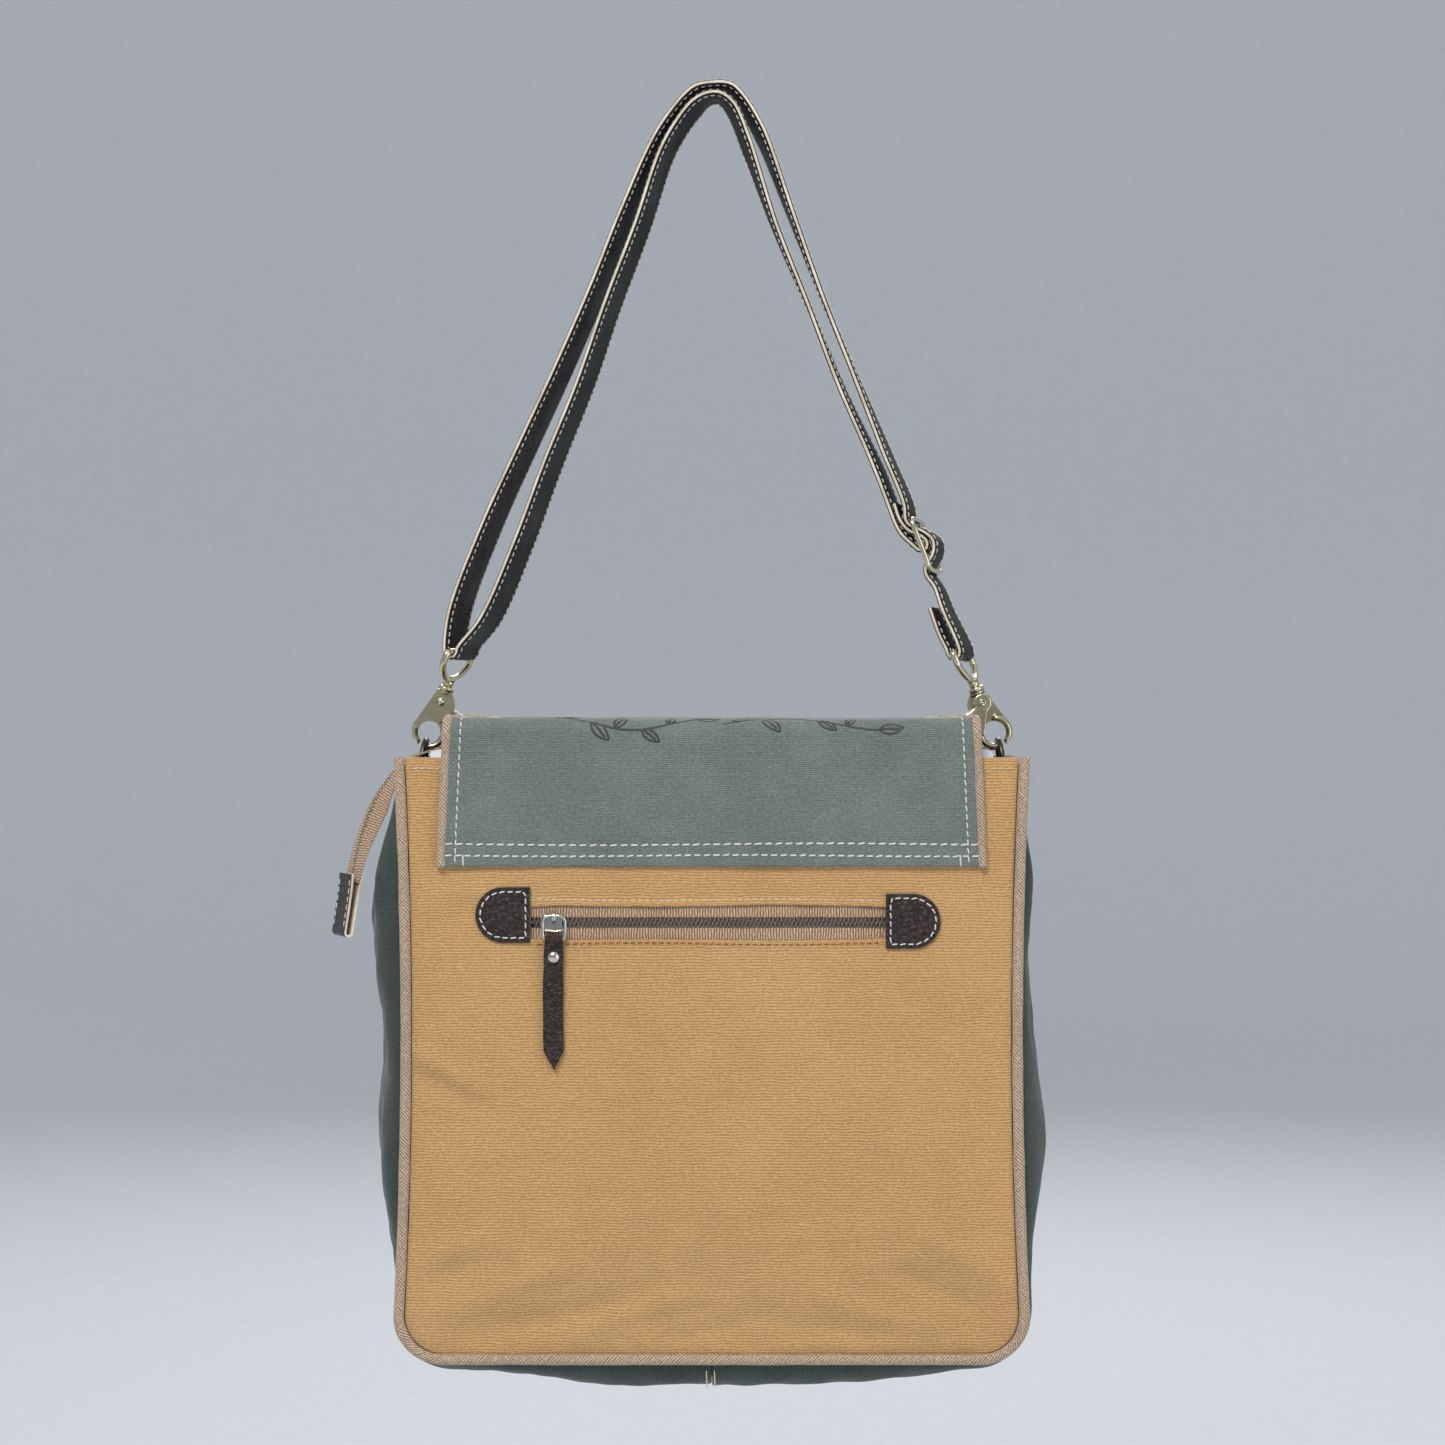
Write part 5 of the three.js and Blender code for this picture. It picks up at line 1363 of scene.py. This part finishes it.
def build_strap():
    points, across, out = strap_frames()
    n = 560
    points, across, out = resample(points, n, across, out)
    across, out = unit(across), unit(out)
    s = lengths(points)
    section = rounded_strip(STRAP_W, STRAP_T)
    k = len(section)
    grid = sweep(points, across, out, section)
    # The face out of the loop is brown; the other is the dark backing.
    middle = (section + np.roll(section, -1, 0)) / 2
    kind = np.where(middle[:, 1] > 0.5, 0, np.where(middle[:, 1] < -0.5, 1, 2))
    faces = grid_faces(n, k, wrap_cols=True).tolist() + [list(range(k)), list(range((n - 1) * k, n * k))]
    index = list(np.tile(kind, n - 1)) + [2, 2]
    around = np.cumsum(np.linalg.norm(section - np.roll(section, 1, 0), axis=1))
    flat = np.stack(np.broadcast_arrays(around[None], s[:, None]), -1)
    strap = piece("strap_leather", grid, faces, [strap_out, strap_in, cream], flat, index=index,
                  replaces=["strap"], slot="leather")
    outward(strap)
    rows = []
    for sign in (-1, 1):
        for face in (-1, 1):
            line = points + across * sign * (STRAP_W / 2 - 3.0) + out * face * STRAP_T / 2
            trim = slice(3, n - 3)
            rows.append((line[trim], (out * face)[trim], dict(pitch=4.1, fill=0.66, radius=0.36, lift=0.08)))
    threads("strap_threads", rows, white_thread)


def build_buckle():
    x_axis = level(BUCKLE_YAW)
    turn = np.linspace(0, TAU, 240, endpoint=False)
    half = STRAP_W / 2 + 1.6 + 1.5
    curve = np.stack([
        half * bend_power(np.cos(turn), 0.25), 15.5 * bend_power(np.sin(turn), 0.25)], 1)
    wire_loop("buckle_frame_wire", curve, 1.5, x_axis, BUCKLE_ALONG, BUCKLE, brass, "bag",
              ["buckle_frame"], "antique_brass")
    ends = [BUCKLE + x_axis * v for v in np.linspace(-1, 1, 12) * (half - 0.6)]
    radius = 1.5 * np.array([1.2, 1.15, 1, 1, 1, 1, 1, 1, 1, 1, 1.15, 1.2])
    tube("buckle_bar_wire", np.array(ends), BUCKLE_ALONG, radius, brass, sides=16, body="bag",
         replaces=["buckle_bar"], slot="antique_brass")


# ---------------------------------------------------------------- top zip and inside
ZIP_Y, ZIP_TOP, ZIP_END, ZIP_FLAT = -12.0, TOP + 10, HALF - 19, HALF - 58


def zip_height(x):
    return np.interp(np.abs(x), [ZIP_FLAT, ZIP_END], [ZIP_TOP, TOP + 3])


def top_strip(name, end, y0, y1, thickness, z0, z1, replaced, material, slot, seed):
    x = np.linspace(-end, end, 120)
    t = np.linspace(0, 1, 8)
    grid = np.zeros((120, 8, 3))
    grid[..., 0] = x[:, None]
    grid[..., 1] = y0 + (y1 - y0) * t[None]
    grid[..., 2] = zip_height(x)[:, None] + z0 + (z1 - z0) * t[None] + 0.5
    slack = abs(z1 - z0) > 0
    wave = ripple(x[:, None], t[None] * 20, seed, 44)
    grid[..., 2] += (0.7 if slack else 0.15) * wave * np.sin(t * math.pi)[None]
    flat = np.stack(np.broadcast_arrays(t[None] * (y1 - y0), x[:, None]), -1)
    return cloth_piece(name, grid, flat, thickness, material, replaces=replaced, slot=slot)


def build_top():
    gap = 2.7
    top_strip("main_tape_back", ZIP_END, ZIP_Y - gap - 12, ZIP_Y - gap, 0.9, 0, 0,
              ["main_zip_tape_back"], tape, "zip_tape", 91)
    top_strip("main_tape_front", ZIP_END, ZIP_Y + gap, ZIP_Y + gap + 12, 0.9, 0, 0,
              ["main_zip_tape_front"], tape, "zip_tape", 92)
    inner, edge = gap + 12.3, FACE - 1.9
    top_strip("placket_back_cloth", ZIP_END, -edge, ZIP_Y - inner, 0.9, -11, 0,
              ["placket_back"], lining, "lining", 93)
    top_strip("placket_front_cloth", HALF - 42, ZIP_Y + inner, edge, 0.9, 0, -11,
              ["placket_front"], lining, "lining", 94)
    teeth = np.arange(-ZIP_END + 1, ZIP_END - 1, TOOTH)
    lines = []
    for line in coil_teeth(teeth, 0.0, 0.0, 2.6):
        x = line[:, 0]
        lines.append(np.stack([x, ZIP_Y + line[:, 2], zip_height(x) + 0.75 - line[:, 1]], 1))
    build_teeth("main_coil", lines, (0, 0, 1), TOOTH_R, coil, replaces=["main_zip_coil"], slot="zip_coil")
    x = np.linspace(-ZIP_END, ZIP_END, 60)
    bed = np.stack([x, np.full(60, ZIP_Y), zip_height(x)], 1)
    tube("main_coil_cord", bed, (0, 1, 0), 1.0, coil, sides=8, slot="zip_coil")
    rows = []
    x = np.linspace(-ZIP_END + 2, ZIP_END - 2, 140)
    for y in (ZIP_Y - gap - 10.5, ZIP_Y + gap + 10.5):
        line = np.stack([x, np.full(140, y), zip_height(x) + 0.5], 1)
        rows.append((line, np.tile([0.0, 0.0, 1.0], (140, 1)), dict(pitch=3.6, radius=0.26)))
    threads("main_zip_threads", rows, cream_thread)


def lining_sheet(name, x0, x1, z0, z1, y, thickness, seed, replaced, sign=1, wave=0.8):
    x = np.linspace(x0, x1, 50)
    z = np.linspace(z1, z0, 50)
    xx, zz = np.meshgrid(x, z)
    edge = np.minimum(np.minimum(xx - x0, x1 - xx), np.minimum(zz - z0, z1 - zz))
    yy = y + sign * wave * (0.5 + 0.5 * ripple(xx, zz, seed, 70)) * ease(edge / 20)
    grid = np.stack([xx, yy, zz], -1)
    return cloth_piece(name, grid, np.stack([xx, zz], -1), thickness, lining, levels=0,
                       replaces=replaced, slot="lining")


def build_inside():
    half = HALF - CORNER + 4
    low, high = BOTTOM + 14, TOP - 7
    lining_sheet("lining_back_cloth", -half, half, low, high, -34.0, 0.6, 101, ["lining_back"])
    lining_sheet("lining_front_cloth", -half, half, low, high, 41.0, 0.6, 102, ["lining_front"], -1, 0.3)
    # The back pocket's pouch, behind and below its opening.
    left, right = -104.5, 100.5
    lining_sheet("pouch_outer_cloth", left, right, -630, -472, -40.3, 0.5, 103, ["pouch_outer_ply"], 1, 0.5)
    lining_sheet("pouch_inner_cloth", left, right, -630, -451, -34.9, 0.5, 104, ["pouch_inner_ply"], -1, 0.6)
    lining_sheet("slip_pocket_cloth", -80, 80, TOP - 225, TOP - 95, 35.6, 0.7, 105, ["slip_pocket"], -1, 0.8)
    x = np.linspace(-78, 78, 80)
    up = np.tile([0.0, -1.0, 0.0], (80, 1))
    line = np.stack([x, np.full(80, 34.8), np.full(80, TOP - 99.0)], 1)
    threads("slip_pocket_threads", [(line, up, dict(pitch=3.4, radius=0.22))], cream_thread)


# ---------------------------------------------------------------- zip tail
def tail_frames(count=90):
    start = np.array([-ZIP_END - 1.6, ZIP_Y, TOP + 2.5])
    route = np.array([
        start,
        [-HALF + 5, ZIP_Y - 1, TOP - 2],
        [-HALF - 11, ZIP_Y - 2.5, TOP - 22],
        [-HALF - 20.5, ZIP_Y - 4, TOP - 47],
        [-HALF - 24, ZIP_Y - 6, TOP - 64],
        [-HALF - 25, ZIP_Y - 6.3, TOP - 70],
    ])
    points, tangents = spline(route, 40)
    points, tangents = resample(points, count, tangents)
    return points, unit(tangents)


def build_tail():
    points, tangent = tail_frames()
    t = np.linspace(0, 1, len(points))
    v = np.linspace(-13.5, 13.5, 25)
    near = np.interp(t, [0, 0.5, 1], [4, 50, 22])
    far = np.interp(t, [0, 1], [4, 22])
    share = ease((v + 3) / 6)
    turn = np.radians(near[:, None] * (1 - share)[None] + far[:, None] * share[None])
    wish = np.stack([-np.sin(turn), np.cos(turn), 0 * turn], -1)
    across = unit(wish - (wish * tangent[:, None]).sum(-1, keepdims=True) * tangent[:, None])
    step = v[1] - v[0]
    middle = len(v) // 2
    grid = np.zeros((len(points), len(v), 3))
    grid[:, middle] = points
    for j in range(middle + 1, len(v)):
        grid[:, j] = grid[:, j - 1] + across[:, j] * step
    for j in range(middle - 1, -1, -1):
        grid[:, j] = grid[:, j + 1] - across[:, j] * step
    s = lengths(points)
    flat = np.stack(np.broadcast_arrays(v[None] + 13.5, s[:, None]), -1)
    cloth_piece("zip_tail_tape", grid, flat, 1.0, tape, replaces=["zip_tail"], slot="zip_tape")
    out = np.cross(across[:, middle], tangent)
    lines = []
    for row, sign in ((0, 1), (1, -1)):
        for at in np.arange(1 + row * TOOTH, s[-1] - 1, 2 * TOOTH):
            c = np.array([np.interp(at, s, points[:, k]) for k in range(3)])
            a = np.array([np.interp(at, s, across[:, middle, k]) for k in range(3)])
            o = unit(np.array([np.interp(at, s, out[:, k]) for k in range(3)]))
            w = np.linspace(-0.5, 2.4, 6)[:, None] * sign
            lines.append(c + a * w + o * (0.5 + 0.35 * np.sin(np.linspace(0, math.pi, 6)))[:, None])
    build_teeth("zip_tail_coil", lines, (0.3, 0.2, 0.9), TOOTH_R, coil, slot="zip_coil")


def build_tail_tab():
    """The folded hide that closes the tail: two plies, cream cut edges and a stitched border."""
    origin = np.array([-HALF - 25.6, ZIP_Y - 6.5, TOP - 65.2])
    turn = Matrix.Rotation(math.radians(22), 3, "Z") @ Matrix.Rotation(math.radians(9), 3, "Y")
    turn = np.array(turn)
    n = 30
    v = np.linspace(-13, 13, 15)
    r = 1.7
    down = np.linspace(0, -32.5, n)
    arc = np.radians(np.linspace(0, -180, 13))[1:-1]
    flare = 0.9 * np.exp(down / 6)
    xs = np.concatenate([np.full(n, r) + flare, r * np.cos(arc), -np.full(n, r) - flare[::-1]])
    zs = np.concatenate([down, -32.5 + r * np.sin(arc), down[::-1]])
    line = np.stack([xs, np.zeros(len(xs)), zs], 1)
    across, out = stations(line, (0, 1, 0))
    section = np.concatenate([[(w, -0.95) for w in v], [(w, 0.35) for w in v[::-1]]])
    grid = sweep(line, across, out, section)
    grid = grid @ turn.T + origin
    k = len(section)
    faces = grid_faces(len(line), k, wrap_cols=True).tolist()
    faces += [list(range(k)), list(range((len(line) - 1) * k, len(line) * k))]
    kinds = np.array([0] * 14 + [1] + [1] * 14 + [1])
    index = list(np.tile(kinds, len(line) - 1)) + [1, 1]
    tab = outward(piece("zip_tail_tab_hide", grid, faces, [hide, cream], index=index,
                        replaces=["zip_tail_tab"], slot="leather"))
    soft = tab.modifiers.new("edge", "BEVEL")
    soft.width = 0.2 * MM
    soft.segments = 2
    soft.limit_method = "ANGLE"
    rows = []
    for side in (-1, 1):
        for w in (-10.4, 10.4):
            z = np.linspace(-3, -30, 20)
            x = side * (r + 0.85 + 0.9 * np.exp(z / 6))
            line = np.stack([x, np.full(20, w), z], 1) @ turn.T + origin
            outwards = np.tile(np.array([side, 0, 0]) @ turn.T, (20, 1))
            rows.append((line, outwards, dict(pitch=3.9, radius=0.32)))
    threads("zip_tail_threads", rows, white_thread)


def build_sliders():
    x, z, top = -87.5, -465, -460.9
    shield = [(x - 6, z - 3.7), (x - 6.6, z), (x - 6, z + 3.7), (x + 2, z + 4.9),
              (x + 6, z + 4.4), (x + 5.2, z), (x + 6, z - 4.4), (x + 2, z - 4.9)]
    flange = []
    for s in (-1, 1):
        edge = [(x - 5.6, -44.6, z + s * 3.9), (x + 2, -44.7, z + s * 4.7), (x + 5.6, -44.6, z + s * 4.2)]
        flange.append(rod(edge, 0.85, 1.0, 10))
    turn = np.radians(np.linspace(0, 180, 16))
    rise = top - 0.8 + 2.6 * np.cos(turn)
    arch = np.stack([np.full(16, x + 1), -44.4 - 4.2 * np.sin(turn) ** 0.7, rise], 1)
    wires = [rod(arch + [shift, 0, 0], 0.8, 0.8, 12) for shift in (-0.5, 0.5)]
    melt("pocket_zip_slider_casting", [flat_part(shield, -45.0, -42.9), *flange, *wires],
         0.18, 3, nickel, lambda points: points, body="pocket_slider",
         replaces=["pocket_zip_slider"], slot="antique_silver")
    cast("main_zip_slider", 0.25, 3, nickel, "main_slider")
    cast("main_zip_pull", 0.2, 2, nickel, "main_slider")
    turn = np.linspace(0, TAU, 200, endpoint=False)
    curve = np.stack([6.2 * bend_power(np.cos(turn), 0.5), 6.6 * bend_power(np.sin(turn), 0.5)], 1)
    ring = (PULL["x"], -47.4, -467.5)
    wire_loop("pocket_pull_wire", curve, 0.9, (1, 0, 0), (0, 0, 1), ring, nickel,
              "pocket_pull", ["pocket_pull_ring"], "antique_silver")
    for half, body in (("snap_bag_half", "bag"), ("snap_flap_half", "flap")):
        low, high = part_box(half)
        middle = (np.array(low) + np.array(high)) / 2 / MM - MIDDLE
        profile = [(0.01, 1.35), (4.0, 1.35), (4.6, 0.9), (6.5, 0.9), (7.6, 1.3), (8.3, 0.8), (8.5, 0.0),
                   (8.3, -1.0), (7.8, -1.4), (0.01, -1.4)]
        points, faces = lathe(profile, middle, (0, 1 if half == "snap_bag_half" else -1, 0), sides=40)
        outward(piece(f"{half}_disc", points, faces, [nickel], body=body, replaces=[half],
                      slot="antique_silver"))


def build_base_threads():
    rows = []
    for x in (1.6, -2.8):
        z = np.linspace(-711.0, -722.0, 8)
        y = np.linspace(-39.6, -36.0, 8)
        line = np.stack([np.full(8, x), y - 0.4, z], 1)
        rows.append((line, np.tile([0.0, -0.8, -0.5], (8, 1)), dict(pitch=6, fill=0.9, radius=0.3)))
    threads("base_threads", rows, cream_thread)


build_panels()
build_piping()
build_gussets()
build_flap()
build_flap_threads()
build_print()
build_panel_threads()
build_pocket_zip()
build_pocket_pull()
build_rings()
build_ring_tabs()
build_strap()
build_buckle()
build_top()
build_inside()
build_tail()
build_tail_tab()
build_sliders()
build_base_threads()


# ---------------------------------------------------------------- stage
def build_stage():
    radius, floor = 5.0, -1.02
    steps = np.concatenate([[(0.0002, floor), (1.5, floor)],
                            [(radius - 1.2 + 1.2 * math.sin(a), floor + 1.2 - 1.2 * math.cos(a))
                             for a in np.linspace(0, math.pi / 2, 16)],
                            [(radius, 3.5)]])
    sides = 96
    turn = np.arange(sides) / sides * TAU
    grid = np.stack([
        steps[:, :1] * np.cos(turn), steps[:, :1] * np.sin(turn), np.repeat(steps[:, 1:], sides, 1)], -1)
    mesh = bpy.data.meshes.new("studio_floor")
    mesh.from_pydata(grid.reshape(-1, 3).tolist(), [], grid_faces(len(steps), sides, wrap_cols=True).tolist())
    mesh.shade_smooth()
    s = Surface("studio_paper")
    grain = s.noise(s.place(), 60, 4, 0.7)
    tone = s.mix(grain, srgb(206, 209, 214), srgb(216, 219, 223))
    s.set(Base_Color=tone, Roughness=0.95, Specular_IOR_Level=0.1)
    mesh.materials.append(s.material)
    floor_obj = bpy.data.objects.new("studio_floor", mesh)
    bpy.context.scene.collection.objects.link(floor_obj)


def lamp(name, place, target, size, power, colour=(1, 1, 1)):
    data = bpy.data.lights.new(name, "AREA")
    data.shape = "RECTANGLE"
    data.size, data.size_y = size
    data.energy = power
    data.color = colour
    obj = bpy.data.objects.new(name, data)
    obj.location = place
    obj.rotation_euler = (Vector(target) - Vector(place)).to_track_quat("-Z", "Y").to_euler()
    bpy.context.scene.collection.objects.link(obj)


build_stage()
lamp("key", (-0.7, -2.2, 1.6), (0, 0, -0.45), (1.2, 1.0), 62)
lamp("fill", (2.0, -1.7, -0.1), (0, 0, -0.4), (1.2, 1.6), 14)
lamp("behind", (0.3, 2.4, 1.4), (0, 0, -0.4), (1.8, 1.4), 34)

world = bpy.data.worlds.new("studio")
world.use_nodes = True
world.node_tree.nodes["Background"].inputs[0].default_value = (0.95, 0.975, 1.0, 1)
world.node_tree.nodes["Background"].inputs[1].default_value = 0.6
bpy.context.scene.world = world
bpy.context.scene.view_settings.view_transform = "Standard"

camera = bpy.data.cameras.new("camera")
camera.lens, camera.sensor_width = 79.72, 36.0
camera.clip_start, camera.clip_end = 0.02, 50
eye = bpy.data.objects.new("camera", camera)
eye.location = (0.0059, -1.8 + MIDDLE[1] * MM, -0.355)
eye.rotation_euler = (math.pi / 2, 0, 0)
bpy.context.scene.collection.objects.link(eye)
bpy.context.scene.camera = eye
